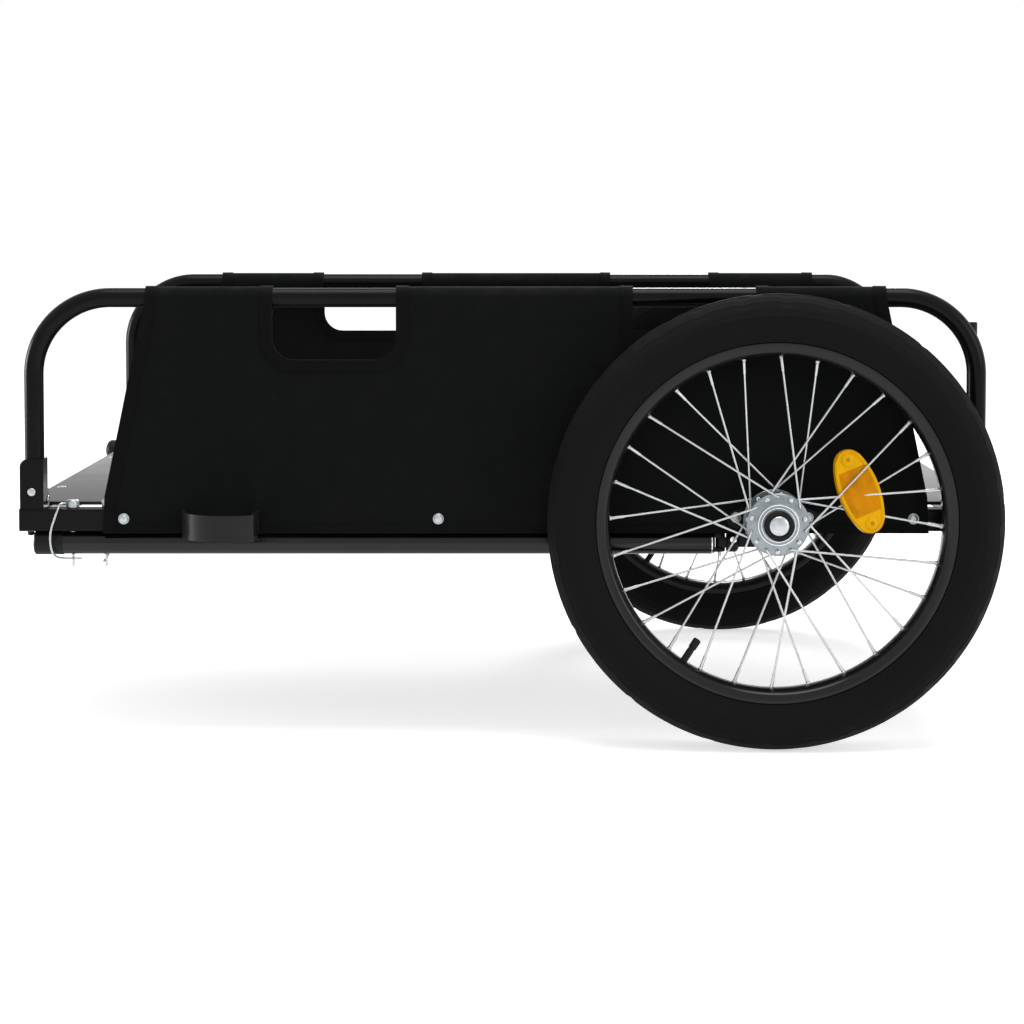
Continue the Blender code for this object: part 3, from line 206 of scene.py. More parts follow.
class TrailerSizes(bpy.types.PropertyGroup):
    """Sizes of the fine shapes."""

    fabric: bpy.props.FloatProperty(
        name="Fabric thickness", description="Thickness of the side fabric",
        unit="LENGTH", default=0.0008, min=0.0004, max=0.0008)
    ripple: bpy.props.FloatProperty(
        name="Fabric ripple", description="How far the cloth swells out of flat",
        unit="LENGTH", default=0.0009, min=0.0, max=0.002)
    binding: bpy.props.FloatProperty(
        name="Binding width", description="Width of the tape on slanted edges",
        unit="LENGTH", default=0.0110, min=0.005, max=0.015)
    weave: bpy.props.FloatProperty(
        name="Weave pitch", description="Distance between two threads of the cloth",
        unit="LENGTH", default=0.0007, min=0.0002, max=0.003)
    spoke: bpy.props.FloatProperty(
        name="Spoke radius", description="Radius of a spoke's wire",
        unit="LENGTH", default=0.001, min=0.0008, max=0.0013)
    tread: bpy.props.FloatProperty(
        name="Tread depth", description="Depth of the grooves in the tyre's tread",
        unit="LENGTH", default=0.0014, min=0.0, max=0.003)
    stitch: bpy.props.FloatProperty(
        name="Stitch length", description="Distance between two stitches",
        unit="LENGTH", default=0.0038, min=0.002, max=0.008)


# Shapes

def along(axis):
    """A rotation that takes +Z to a direction."""
    return Vector((0, 0, 1)).rotation_difference(Vector(axis)).to_matrix().to_4x4()


def corners():
    """The four corners of the trailer, as (side, side's word, end, end's word)."""
    return [(*side, *end) for side in SIDES for end in ENDS]


def mirrored(half):
    """A profile from the half of it at positive distances. Points on the middle stay single."""
    return half + [(radius, -out) for radius, out in reversed(half) if out > 0]


def arc(centre, radius, start, end, steps):
    """Points on an arc, in degrees anticlockwise from the first axis."""
    turns = [math.radians(start + (end - start) * i / steps) for i in range(steps + 1)]
    return [(centre[0] + radius * math.cos(t), centre[1] + radius * math.sin(t)) for t in turns]


def span_rings(bm, rings, finish, closed):
    """Faces between rings of vertices. A ring of one vertex is a tip."""
    pairs = list(zip(rings, rings[1:]))
    if closed:
        pairs.append((rings[-1], rings[0]))
    for a, b in pairs:
        count = max(len(a), len(b))
        for i in range(count):
            loop = []
            for vert in (a[i % len(a)], a[(i + 1) % len(a)], b[(i + 1) % len(b)], b[i % len(b)]):
                if vert not in loop:
                    loop.append(vert)
            if len(loop) > 2:
                bm.faces.new(loop).material_index = finish


def lathe(bm, profile, centre, axis, steps, finish=0):
    """A turned shape from a loop of (radius, distance along the axis), or such a line between two tips."""
    place = Matrix.Translation(centre) @ along(axis)
    rings = []
    for radius, height in profile:
        if radius <= 0:
            rings.append([bm.verts.new(place @ Vector((0, 0, height)))])
            continue
        turns = [2 * math.pi * i / steps for i in range(steps)]
        ring = [Vector((radius * math.cos(t), radius * math.sin(t), height)) for t in turns]
        rings.append([bm.verts.new(place @ point) for point in ring])
    span_rings(bm, rings, finish, profile[0][0] > 0)


def sweep(bm, points, radii, sides, finish=0):
    """A round tube with closed ends along a line of points, with one radius or one for each point."""
    points = [Vector(p) for p in points]
    if not isinstance(radii, (list, tuple)):
        radii = [radii] * len(points)
    tangents = []
    for i in range(len(points)):
        before, after = points[max(i - 1, 0)], points[min(i + 1, len(points) - 1)]
        tangents.append((after - before).normalized())
    normal = tangents[0].orthogonal().normalized()
    rings = []
    for point, tangent, radius in zip(points, tangents, radii):
        normal = (normal - tangent * normal.dot(tangent)).normalized()
        other = tangent.cross(normal)
        turns = [2 * math.pi * i / sides for i in range(sides)]
        ring = [point + (normal * math.cos(t) + other * math.sin(t)) * radius for t in turns]
        rings.append([bm.verts.new(spot) for spot in ring])
    span_rings(bm, rings, finish, False)
    bm.faces.new(rings[0][::-1]).material_index = finish
    bm.faces.new(rings[-1]).material_index = finish


def rounded_path(points, radius, steps):
    """The points with each inner corner rounded off."""
    points = [Vector(p) for p in points]
    made = [points[0]]
    for before, corner, after in zip(points, points[1:], points[2:]):
        reach = min(radius, (before - corner).length * 0.49, (after - corner).length * 0.49)
        a = corner + (before - corner).normalized() * reach
        b = corner + (after - corner).normalized() * reach
        for i in range(steps + 1):
            t = i / steps
            made.append(a * (1 - t) ** 2 + corner * 2 * t * (1 - t) + b * t ** 2)
    return made + [points[-1]]


def bevel_edges(bm, edges, width, segments):
    """Rounds some edges."""
    bmesh.ops.bevel(bm, geom=edges, offset=width, segments=segments, profile=0.5, affect="EDGES",
                    clamp_overlap=True)


def block(bm, low, high, bevel, segments):
    """A box between two corners with rounded edges."""
    made = bmesh.ops.create_cube(bm, size=1.0)["verts"]
    bmesh.ops.scale(bm, vec=[abs(b - a) for a, b in zip(low, high)], verts=made)
    bmesh.ops.translate(bm, vec=[(a + b) / 2 for a, b in zip(low, high)], verts=made)
    bevel_edges(bm, list({edge for vert in made for edge in vert.link_edges}), bevel, segments)


def slab(bm, outline, thickness, place, bevel, segments, finish=0):
    """A flat plate from an outline in its own XY plane, centred on that plane."""
    half = thickness / 2
    lower = [bm.verts.new(place @ Vector((x, y, -half))) for x, y in outline]
    upper = [bm.verts.new(place @ Vector((x, y, half))) for x, y in outline]
    faces = [bm.faces.new(lower[::-1]), bm.faces.new(upper)]
    rims = list(faces[0].edges) + list(faces[1].edges)
    count = len(outline)
    for i in range(count):
        j = (i + 1) % count
        faces.append(bm.faces.new((lower[i], lower[j], upper[j], upper[i])))
    for face in faces:
        face.material_index = finish
    bevel_edges(bm, rims, bevel, segments)


def dome_bolt(bm, centre, axis, radius, height, washer=0.0):
    """A round-headed bolt on a surface, with a thin washer under it if one is given."""
    seat = 0.0
    if washer:
        seat = 0.0008
        lathe(bm, [(0.0, 0.0), (washer, 0.0), (washer, seat * 0.8), (washer * 0.96, seat), (0.0, seat)],
              centre, axis, 28)
    crown = [(radius * math.cos(t), seat + height * (0.25 + 0.75 * math.sin(t)))
             for t in (math.radians(a) for a in (0, 18, 36, 54, 72))]
    profile = [(0.0, seat * 0.5), (radius, seat * 0.5)] + crown + [(0.0, seat + height)]
    lathe(bm, profile, centre, axis, 28)


def piece(name, bm, materials, body, replaces=(), sharp=38):
    """Makes a piece from a bmesh and lets it ride on a body."""
    bmesh.ops.recalc_face_normals(bm, faces=bm.faces)
    mesh = bpy.data.meshes.new(name)
    bm.to_mesh(mesh)
    bm.free()
    mesh.shade_smooth()
    mesh.set_sharp_from_angle(angle=math.radians(sharp))
    made = bpy.data.objects.new(name, mesh)
    bpy.context.scene.collection.objects.link(made)
    for material in materials:
        mesh.materials.append(material)
    if body:
        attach(made, body)
    if replaces:
        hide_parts(*replaces)
    return made


def turned_piece(name, profile, centre, axis, steps, finish, body, slot, node, sharp=38):
    """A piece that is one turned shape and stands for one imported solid."""
    bm = bmesh.new()
    lathe(bm, profile, centre, axis, steps)
    piece(name, bm, finishes(finish), body, [node], sharp)


# Materials

def feed(tree, socket, value):
    """Links a socket to another, or sets its value."""
    if isinstance(value, bpy.types.NodeSocket):
        tree.links.new(value, socket)
    else:
        socket.default_value = value


def maths(tree, operation, *values, clamp=False):
    """A Math node's result."""
    made = tree.nodes.new("ShaderNodeMath")
    made.operation = operation
    made.use_clamp = clamp
    for socket, value in zip(made.inputs, values):
        feed(tree, socket, value)
    return made.outputs[0]


def texture(tree, kind, vector, **values):
    """A texture node on a vector, with values for its sockets."""
    made = tree.nodes.new("ShaderNodeTex" + kind)
    tree.links.new(vector, made.inputs["Vector"])
    for name, value in values.items():
        feed(tree, made.inputs[name.replace("_", " ")], value)
    return made


def product(tree, a, b):
    """Two values multiplied."""
    return maths(tree, "MULTIPLY", a, b)


def parts(tree, vector):
    """The three numbers of a vector."""
    made = tree.nodes.new("ShaderNodeSeparateXYZ")
    feed(tree, made.inputs[0], vector)
    return made.outputs


def ramp(tree, value, low, high, to_low=0.0, to_high=1.0):
    """A value moved from one range to another, with soft ends."""
    made = tree.nodes.new("ShaderNodeMapRange")
    made.interpolation_type = "SMOOTHSTEP"
    for socket, given in zip(made.inputs, (value, low, high, to_low, to_high)):
        feed(tree, socket, given)
    return made.outputs[0]


def blend_colour(tree, factor, a, b):
    """A mix of two colours."""
    made = tree.nodes.new("ShaderNodeMix")
    made.data_type = "RGBA"
    feed(tree, made.inputs["Factor"], factor)
    feed(tree, made.inputs[6], a)
    feed(tree, made.inputs[7], b)
    return made.outputs[2]


def new_group(name, inputs, outputs):
    """A node group with a vector and some numbers to take in, and some numbers to give back."""
    group = bpy.data.node_groups.new(name, "ShaderNodeTree")
    group.interface.new_socket("Vector", in_out="INPUT", socket_type="NodeSocketVector")
    for label, value in inputs.items():
        socket = group.interface.new_socket(label, in_out="INPUT", socket_type="NodeSocketFloat")
        socket.default_value = value
    for label in outputs:
        group.interface.new_socket(label, in_out="OUTPUT", socket_type="NodeSocketFloat")
    return group, group.nodes.new("NodeGroupInput").outputs, group.nodes.new("NodeGroupOutput").inputs


def grain_group():
    """Fine grain of a moulded, painted or cast surface, and slow patches of tone over it."""
    group, given, out = new_group("surface_grain", {"Grain Scale": 900.0, "Patch Scale": 9.0},
                                  ("Height", "Tone"))
    fine = texture(group, "Noise", given["Vector"], Scale=given["Grain Scale"], Detail=3.0, Roughness=0.6)
    slow = texture(group, "Noise", given["Vector"], Scale=given["Patch Scale"], Detail=4.0, Roughness=0.55)
    feed(group, out["Height"], fine.outputs[0])
    feed(group, out["Tone"], ramp(group, slow.outputs[0], 0.3, 0.7))
    return group


def dust_group():
    """Dust and handling marks: thin on faces that look up, in drifts and short scratches elsewhere."""
    group, given, out = new_group("dust_and_scuffs", {"Dust": 0.2, "Scuffs": 0.2}, ("Mask",))
    normal = group.nodes.new("ShaderNodeNewGeometry").outputs["Normal"]
    upward = maths(group, "MAXIMUM", parts(group, normal)[2], 0.15)
    drift = texture(group, "Noise", given["Vector"], Scale=38.0, Detail=5.0, Roughness=0.7)
    settled = product(group, ramp(group, drift.outputs[0], 0.42, 0.75), upward)
    stretch = group.nodes.new("ShaderNodeMapping")
    feed(group, stretch.inputs["Vector"], given["Vector"])
    stretch.inputs["Scale"].default_value = (1.0, 6.0, 5.0)
    stretch.inputs["Rotation"].default_value = (0.3, 0.5, 0.2)
    scratch = texture(group, "Noise", stretch.outputs[0], Scale=95.0, Detail=2.0, Roughness=0.5)
    scuff = product(group, ramp(group, scratch.outputs[0], 0.66, 0.74), given["Scuffs"])
    feed(group, out["Mask"], maths(group, "ADD", product(group, settled, given["Dust"]), scuff, clamp=True))
    return group


def weave_group():
    """A plain weave in the XZ plane: threads that pass over and under each other."""
    group, given, out = new_group("plain_weave", {"Pitch": 0.0007}, ("Height", "Thread"))
    place = parts(group, given["Vector"])
    sines = []
    for axis in (0, 2):
        turn = product(group, maths(group, "DIVIDE", place[axis], given["Pitch"]), math.pi)
        sines.append(maths(group, "SINE", turn))
    over = maths(group, "GREATER_THAN", product(group, *sines), 0.0)
    warp, weft = (maths(group, "POWER", maths(group, "ABSOLUTE", sine), 0.6) for sine in sines)
    under = maths(group, "SUBTRACT", 1.0, over)
    height = maths(group, "ADD", product(group, warp, over), product(group, weft, under))
    feed(group, out["Height"], height)
    feed(group, out["Thread"], over)
    return group


def spangle_group():
    """The cloudy crystal pattern of zinc plating, with fine brush lines."""
    group, given, out = new_group("zinc_spangle", {"Scale": 420.0}, ("Tone", "Height"))
    cells = texture(group, "Voronoi", given["Vector"], Scale=given["Scale"])
    cloud = texture(group, "Noise", given["Vector"], Scale=150.0, Detail=4.0, Roughness=0.65)
    lines = texture(group, "Noise", given["Vector"], Scale=1900.0, Detail=1.0, Roughness=0.5)
    crystal = parts(group, cells.outputs["Color"])[0]
    tone = maths(group, "ADD", product(group, crystal, 0.35), product(group, cloud.outputs[0], 0.65))
    feed(group, out["Tone"], tone)
    feed(group, out["Height"], lines.outputs[0])
    return group


def prism_group():
    """The small pyramids that are moulded into a reflector's back, seen through its face, as heights, and a
    painted glint that is higher towards each pyramid's edge and in patches.
    """
    group, given, out = new_group("reflector_prisms", {"Scale": 520.0}, ("Height", "Painted Glint"))
    cells = texture(group, "Voronoi", given["Vector"], Scale=given["Scale"], Randomness=0.0)
    patches = texture(group, "Voronoi", given["Vector"], Scale=120.0)
    patch = parts(group, patches.outputs["Color"])[0]
    height = cells.outputs["Distance"]
    feed(group, out["Height"], height)
    feed(group, out["Painted Glint"], maths(group, "ADD", product(group, height, 0.7), product(group, patch, 0.3)))
    return group


GROUP_MAKERS = {"surface_grain": grain_group, "dust_and_scuffs": dust_group, "plain_weave": weave_group,
                "zinc_spangle": spangle_group, "reflector_prisms": prism_group}


def effect(tree, name, vector, **values):
    """Places a node group, which is made the first time, and returns its outputs."""
    made = tree.nodes.new("ShaderNodeGroup")
    made.node_tree = bpy.data.node_groups.get(name) or GROUP_MAKERS[name]()
    feed(tree, made.inputs["Vector"], vector)
    for key, value in values.items():
        made.inputs[key.replace("_", " ")].default_value = value
    return made.outputs


def surface(name, metallic=0.0, **values):
    """A new material with plain values on its shader, and its tree, shader and object coordinates."""
    material = bpy.data.materials.new(name)
    material.use_nodes = True
    tree = material.node_tree
    shader = tree.nodes["Principled BSDF"]
    shader.inputs["Metallic"].default_value = metallic
    for key, value in values.items():
        shader.inputs[key.replace("_", " ")].default_value = value
    return material, tree, shader, tree.nodes.new("ShaderNodeTexCoord").outputs["Object"]


def bump(tree, shader, height, distance, strength=1.0):
    """Feeds a height to the shader's normal."""
    made = tree.nodes.new("ShaderNodeBump")
    made.inputs["Strength"].default_value = strength
    made.inputs["Distance"].default_value = distance
    feed(tree, made.inputs["Height"], height)
    feed(tree, shader.inputs["Normal"], made.outputs[0])


def tint(colour, factor):
    """A colour made lighter or darker, with alpha."""
    return (*[min(c * factor, 1.0) for c in colour], 1.0)


def moulded(name, colour, roughness, grain=900.0, depth=0.00002, spread=0.25, dust=0.15, scuffs=0.15,
            dust_colour=(0.10, 0.095, 0.088), **values):
    """A painted, moulded or cast finish with fine grain, patches of tone, dust and scuffs."""
    material, tree, shader, coords = surface(name, **values)
    grained = effect(tree, "surface_grain", coords, Grain_Scale=grain, Patch_Scale=11.0)
    dusty = effect(tree, "dust_and_scuffs", coords, Dust=dust, Scuffs=scuffs)
    base = blend_colour(tree, grained["Tone"], tint(colour, 1 - spread), tint(colour, 1 + spread))
    feed(tree, shader.inputs["Base Color"], blend_colour(tree, dusty["Mask"], base, (*dust_colour, 1.0)))
    rough = maths(tree, "ADD", roughness - 0.05, product(tree, grained["Tone"], 0.1))
    dulled = product(tree, dusty["Mask"], 0.5)
    feed(tree, shader.inputs["Roughness"], maths(tree, "ADD", rough, dulled, clamp=True))
    bump(tree, shader, grained["Height"], depth)
    return material


def woven(name, colour, pitch, roughness=0.78, depth=0.00012):
    """Coated cloth: a plain weave with a slow change of tone and a little lint."""
    material, tree, shader, coords = surface(name, Specular_IOR_Level=0.06, Sheen_Weight=0.02,
                                             Sheen_Roughness=0.5)
    threads = effect(tree, "plain_weave", coords, Pitch=pitch)
    grained = effect(tree, "surface_grain", coords, Grain_Scale=2600.0, Patch_Scale=6.0)
    dusty = effect(tree, "dust_and_scuffs", coords, Dust=0.10, Scuffs=0.02)
    thread = blend_colour(tree, threads["Thread"], tint(colour, 0.86), tint(colour, 1.1))
    toned = blend_colour(tree, product(tree, grained["Tone"], 0.35), thread, tint(colour, 1.35))
    lint = (0.09, 0.088, 0.084, 1.0)
    feed(tree, shader.inputs["Base Color"], blend_colour(tree, dusty["Mask"], toned, lint))
    rough = maths(tree, "ADD", roughness, product(tree, grained["Tone"], 0.1))
    feed(tree, shader.inputs["Roughness"], rough)
    height = maths(tree, "ADD", threads["Height"], product(tree, grained["Height"], 0.4))
    bump(tree, shader, height, depth, 0.6)
    return material


def plated(name, colour, roughness, scale=420.0, spread=0.3, depth=0.00001):
    """Zinc or nickel plate with its cloudy crystal pattern."""
    material, tree, shader, coords = surface(name, 1.0)
    spangle = effect(tree, "zinc_spangle", coords, Scale=scale)
    feed(tree, shader.inputs["Base Color"],
         blend_colour(tree, spangle["Tone"], tint(colour, 1 - spread), tint(colour, 1 + spread * 0.5)))
    feed(tree, shader.inputs["Roughness"],
         maths(tree, "ADD", roughness - 0.08, product(tree, spangle["Tone"], 0.16)))
    bump(tree, shader, spangle["Height"], depth)
    return material


def prismatic(name, colour):
    """Clear coloured plastic over moulded prisms."""
    material, tree, shader, coords = surface(name, Coat_Weight=0.03, Coat_Roughness=0.08,
                                             Specular_IOR_Level=0.06)
    prisms = effect(tree, "reflector_prisms", coords, Scale=520.0)
    grained = effect(tree, "surface_grain", coords, Grain_Scale=1500.0, Patch_Scale=45.0)
    # The amber is lightened by the painted glint over the prisms.
    deep = blend_colour(tree, prisms["Painted Glint"], tint(colour, 0.55), tint(colour, 1.3))
    feed(tree, shader.inputs["Base Color"],
         blend_colour(tree, product(tree, grained["Tone"], 0.3), deep, tint(colour, 1.5)))
    shader.inputs["Roughness"].default_value = 0.22
    bump(tree, shader, prisms["Height"], 0.0004, 0.5)
    return material


def make_materials(colours, sizes):
    """Every finish of the trailer, by name."""
    return {
        "paint": moulded("satin_black_paint", colours.paint, 0.22, 1400.0, 0.000012, dust=0.05, scuffs=0.04,
                         Specular_IOR_Level=0.1),
        # The hoop's black is lighter than the frame's. The lift is a painted highlight: the average of the
        # highlights that its bent band catches.
        "painted_highlight_black": moulded("hoop_black_with_painted_highlight", (0.008, 0.008, 0.0084), 0.26, 1400.0, 0.000012, dust=0.04,
                               scuffs=0.04, Specular_IOR_Level=0.2),
        "cloth": woven("coated_cloth", colours.fabric, sizes.weave),
        "binding": woven("binding_tape", colours.binding, sizes.weave * 1.6, 0.7, 0.0002),
        "thread": moulded("sewing_thread", (0.0042, 0.0048, 0.0045), 0.6, 5000.0, dust=0.0, scuffs=0.0,
                          Specular_IOR_Level=0.06),
        "board": moulded("grey_floor_board", colours.board, 0.34, 1700.0, 0.00001, 0.035, 0.05, 0.06,
                         (0.16, 0.158, 0.152), Specular_IOR_Level=0.35),
        "edge": moulded("board_edge_trim", (0.008, 0.008, 0.0085), 0.5, dust=0.1),
        "tyre": moulded("tyre_rubber", colours.tyre, 0.72, 1300.0, 0.00004, 0.2, 0.10, 0.05,
                        (0.03, 0.029, 0.027), Specular_IOR_Level=0.08),
        "rim": moulded("gloss_black_rim", colours.rim, 0.22, 1800.0, 0.000006, dust=0.03, scuffs=0.03,
                       Specular_IOR_Level=0.2, Coat_Weight=0.12, Coat_Roughness=0.1),
        "plastic": moulded("black_moulded_plastic", colours.plastic, 0.38, 1600.0, 0.00003, dust=0.05,
                           scuffs=0.04, Specular_IOR_Level=0.15),
        "gloss_paint": moulded("gloss_black_paint", colours.paint, 0.22, 1400.0, 0.000008, dust=0.04,
                               scuffs=0.04, Specular_IOR_Level=0.3),
        "zinc": plated("zinc_plate", (0.46, 0.49, 0.50), 0.36),
        "galvanised": plated("galvanised_hub", (0.27, 0.30, 0.315), 0.36, 300.0, 0.32),
        "button": plated("pressed_button", (0.50, 0.53, 0.55), 0.32, 320.0, 0.3),
        "spoke": plated("drawn_spoke_wire", (0.52, 0.53, 0.54), 0.30, 900.0, 0.15),
        # Bright plate. On the hubs' end faces it is also the painted highlight of the outer rings.
        "bright": plated("nickel_plate_and_painted_highlight", (0.80, 0.81, 0.82), 0.16, 900.0, 0.06, 0.000003),
        "amber": prismatic("amber_prisms", colours.amber),
        "amber_border": moulded("amber_border", (0.80, 0.42, 0.0015), 0.3, 1500.0, 0.00001, 0.06, 0.0, 0.0,
                                Specular_IOR_Level=0.08),
    }


FINISHES = {}


def finishes(*names):
    """Finishes by name. They are made the first time that one is asked for."""
    if not FINISHES:
        look = bpy.context.scene
        FINISHES.update(make_materials(look.trailer_colours, look.trailer_sizes))
    return [FINISHES[name] for name in names]


def repaint(finish, *nodes):
    """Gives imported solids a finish."""
    for node in nodes:
        for place in NODES[node].material_slots:
            place.material = finishes(finish)[0]


# Base frame

def make_frame_finish():
    """Paints the tubes, brackets and axle plates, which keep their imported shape."""
    kept = ("side_tube", "corner_bracket", "axle_plate", "middle_cross_tube")
    repaint("paint", *[node for node in NODES if node.startswith(kept) or node.endswith("_tube")])


def make_tube_plugs():
    """The plugs in the side tubes' ends, and the round studs under them."""
    shank, flange = 0.0080, 0.0083
    middle_y, middle_z = (TUBE_FACE + TUBE_INNER) / 2, (TUBE_FOOT + TUBE_TOP) / 2
    stud = [(0.0, -0.0003), (0.0031, -0.0003), (0.0031, 0.0030), (0.0026, 0.0041), (0.0016, 0.0048),
            (0.0, 0.0050)]
    bm = bmesh.new()
    for side, _, end, _ in corners():
        for half, start, stop, bevel, segments in ((shank, -0.010, -0.0004, 0.0008, 1),
                                                   (flange, -0.0008, 0.0002, 0.0004, 2)):
            block(bm, (end * (TUBE_END + start), side * middle_y - half, middle_z - half),
                  (end * (TUBE_END + stop), side * middle_y + half, middle_z + half), bevel, segments)
        lathe(bm, stud, (end * (TUBE_END - 0.0087), side * middle_y, TUBE_FOOT + 0.0003), (0, 0, -1), 20)
    piece("tube_end_plugs", bm, finishes("plastic"), BASE)


def make_bracket_welds():
    """The weld beads along the foot of each bracket's outer face."""
    beads = 15
    length = 2 * BRACKET_HALF / beads
    bm = bmesh.new()
    for side, _, end, _ in corners():
        y, z = side * (TUBE_FACE - 0.0004), TUBE_TOP + 0.00015
        for bead in range(beads):
            low = end * BRACKET_X - BRACKET_HALF + length * bead
            sweep(bm, [(low, y, z), (low + length, y, z)], [0.0007, 0.0009], 8)
    piece("bracket_welds", bm, finishes("paint"), BASE)


def make_floor_board():
    """The grey board with its dark edge, and the rivets that hold it to the cross tubes."""
    corner = 0.004
    outline = []
    for quarter, (sx, sy) in enumerate(((1, 1), (-1, 1), (-1, -1), (1, -1))):
        middle = (sx * (BED_HALF_X - corner), sy * (BED_HALF_Y - corner))
        outline += arc(middle, corner, 90 * quarter, 90 * quarter + 90, 5)
    bm = bmesh.new()
    place = Matrix.Translation((0, 0, BED_TOP - BED_THICKNESS / 2))
    slab(bm, outline, BED_THICKNESS, place, 0.0006, 2)
    for face in bm.faces:
        face.normal_update()
        if abs(face.normal.z) < 0.9:
            face.material_index = 1
    piece("floor_panel", bm, finishes("board", "edge"), BASE, ["floor_board"])
    bm = bmesh.new()
    for x in RIVET_X:
        for y in (-RIVET_Y, RIVET_Y):
            dome_bolt(bm, (x, y, BED_TOP), (0, 0, 1), 0.0042, 0.0012)
    piece("floor_rivets", bm, finishes("zinc"), BASE)


def make_bracket_bolts():
    """The bolts in the corner brackets' outer faces, and the fold pins."""
    bm = bmesh.new()
    for side, _, end, _ in corners():
        dome_bolt(bm, (end * BRACKET_X, side * TUBE_FACE, BRACKET_BOLT_Z), (0, side, 0), 0.0037, 0.0022)
    piece("bracket_bolts", bm, finishes("zinc"), BASE)
    seat, head = BRACKET_HALF + 0.0003, HINGE_HEAD_RADIUS
    half = [(0.0, seat + 0.0016), (head * 0.55, seat + 0.0014), (head * 0.9, seat + 0.0009),
            (head, seat + 0.0002), (head * 0.97, seat), (HINGE_PIN_RADIUS, seat)]
    for side, side_word, end, end_word in corners():
        name = f"{end_word}_{side_word}"
        turned_piece("fold_rivet_" + name, mirrored(half), (end * BRACKET_X, side * HINGE_Y, HINGE_Z),
                     (1, 0, 0), 24, "zinc", BASE, "zinc", "hinge_pin_" + name)


def make_side_bolts(side, word):
    """The bolts with washers through the fabric's foot, and those of the axle plate."""
    for name, spots, y, z, height, washer in (
            ("fabric_bolts_", FABRIC_BOLT_X, SHEET_Y + 0.0006, FABRIC_BOLT_Z, 0.0024, 0.0048),
            ("axle_plate_bolts_", PLATE_BOLT_X, PLATE_OUTER, PLATE_BOLT_Z, 0.0012, 0.0046)):
        bm = bmesh.new()
        for x in spots:
            dome_bolt(bm, (x, side * y, z), (0, side, 0), 0.0040, height, washer)
        piece(name + word, bm, finishes("zinc"), BASE)


def make_guard_hoop():
    """The bent band ahead of the left wheel, in black paint lightened by a painted highlight."""
    start, thickness, height = PLATE_OUTER - 0.003, 0.002, HOOP_TOP - HOOP_FOOT
    centre = (HOOP_FRONT + HOOP_ARC, TUBE_FACE + HOOP_REACH - HOOP_ARC)
    last = math.degrees(math.acos((HOOP_REAR - centre[0]) / HOOP_ARC))
    outer = [(HOOP_FRONT, start)] + arc(centre, HOOP_ARC, 180, last, 40) + [(HOOP_REAR, start)]
    inner = arc(centre, HOOP_ARC - thickness, 180, last + 3, 40)
    inner = [(HOOP_FRONT + thickness, start)] + inner + [(HOOP_REAR - thickness, start)]
    outline = [(x, -y) for x, y in outer + inner[::-1]]
    bm = bmesh.new()
    slab(bm, outline, height, Matrix.Translation((0, 0, (HOOP_TOP + HOOP_FOOT) / 2)), 0.0006, 2)
    piece("guard_hoop", bm, finishes("painted_highlight_black"), BASE, ["side_guard_hoop"])


def make_corner_lens():
    """The small domed lens at the right front corner."""
    radius, reach, depth, stem, bulge = 0.0116, 0.0190, 0.0118, 0.003, 0.6
    back = reach - depth
    dome = [(radius * math.sin(turn), reach - depth * (1 - math.cos(turn)) * bulge)
            for turn in (math.radians(a) for a in range(8, 91, 9))]
    profile = [(0.0, reach)] + dome + [(radius, back), (radius * 0.9, back - 0.0008), (stem, back - 0.0012),
                                       (stem, 0.0), (0.0, 0.0)]
    turned_piece("corner_lens", profile, (-TUBE_END - 0.0003, LENS_Y, LENS_Z), (-1, 0, 0), 40,
                 "plastic", BASE, "black_plastic", "front_corner_lens")


# Side frames

def make_side_rail(side, word):
    """The bent rail with its two hinge sleeves."""
    bend = arc((RAIL_HALF - RAIL_BEND, RAIL_TOP - RAIL_BEND), RAIL_BEND, 0, 90, 28)
    path = [(RAIL_HALF, LEG_FOOT)] + bend
    path += [(-x, z) for x, z in reversed(path)]
    bm = bmesh.new()
    sweep(bm, [(x, side * RAIL_Y, z) for x, z in path], RAIL_RADIUS, 28)
    reach, bore = BRACKET_HALF - 0.0021, HINGE_PIN_RADIUS + 0.0003
    sleeve = [(SLEEVE_RADIUS, -reach), (SLEEVE_RADIUS, reach), (bore, reach), (bore, -reach)]
    for end, _ in ENDS:
        lathe(bm, sleeve, (end * BRACKET_X, side * HINGE_Y, HINGE_Z), (1, 0, 0), 24)
    piece("bent_rail_" + word, bm, finishes("paint"), "side_frame_" + word,
          ["side_rail_" + word])


def sheet_line():
    """The cloth's path seen from the end, as (distance from the middle, height).

    It goes up the side, over the rail, and back down to the tail that is sewn to the side.
    """
    face = RAIL_Y + CASING_RADIUS
    line = [(SHEET_Y, SHEET_FOOT), (SHEET_Y, SHEET_FOLD)]
    line += arc((RAIL_Y, RAIL_TOP), CASING_RADIUS, 0, 225, 26)
    return line + [(face - inside, height) for inside, height in CASING_TAIL]


SHEET_LINE = sheet_line()
SHEET_STOPS = [0.0]
for before, after in zip(SHEET_LINE, SHEET_LINE[1:]):
    SHEET_STOPS.append(SHEET_STOPS[-1] + math.dist(before, after))
SHEET_LENGTH = SHEET_STOPS[-1]
FOLD_STOP = SHEET_STOPS[1]
CASING_START = SHEET_STOPS[2]


def on_sheet(side, x, s, out=0.0):
    """A point on the cloth, at a distance along its path and a distance out of its middle."""
    s = min(max(s, 0.0), SHEET_LENGTH)
    i = max(k for k in range(len(SHEET_STOPS) - 1) if SHEET_STOPS[k] <= s)
    (ay, az), (by, bz) = SHEET_LINE[i], SHEET_LINE[i + 1]
    length = SHEET_STOPS[i + 1] - SHEET_STOPS[i]
    t = (s - SHEET_STOPS[i]) / length
    ty, tz = (by - ay) / length, (bz - az) / length
    if s < CASING_START:
        # Slow swells between the foot and the rail, and none near the two
        broad = noise.noise(Vector((x * 9, s * 14, side * 3.1)))
        fine = noise.noise(Vector((x * 30, s * 22, side * 5.7)))
        rise = math.sin(math.pi * s / CASING_START)
        out += bpy.context.scene.trailer_sizes.ripple * rise * (broad + 0.4 * fine)
    return Vector((x, side * (ay + (by - ay) * t + tz * out), az + (bz - az) * t - ty * out))


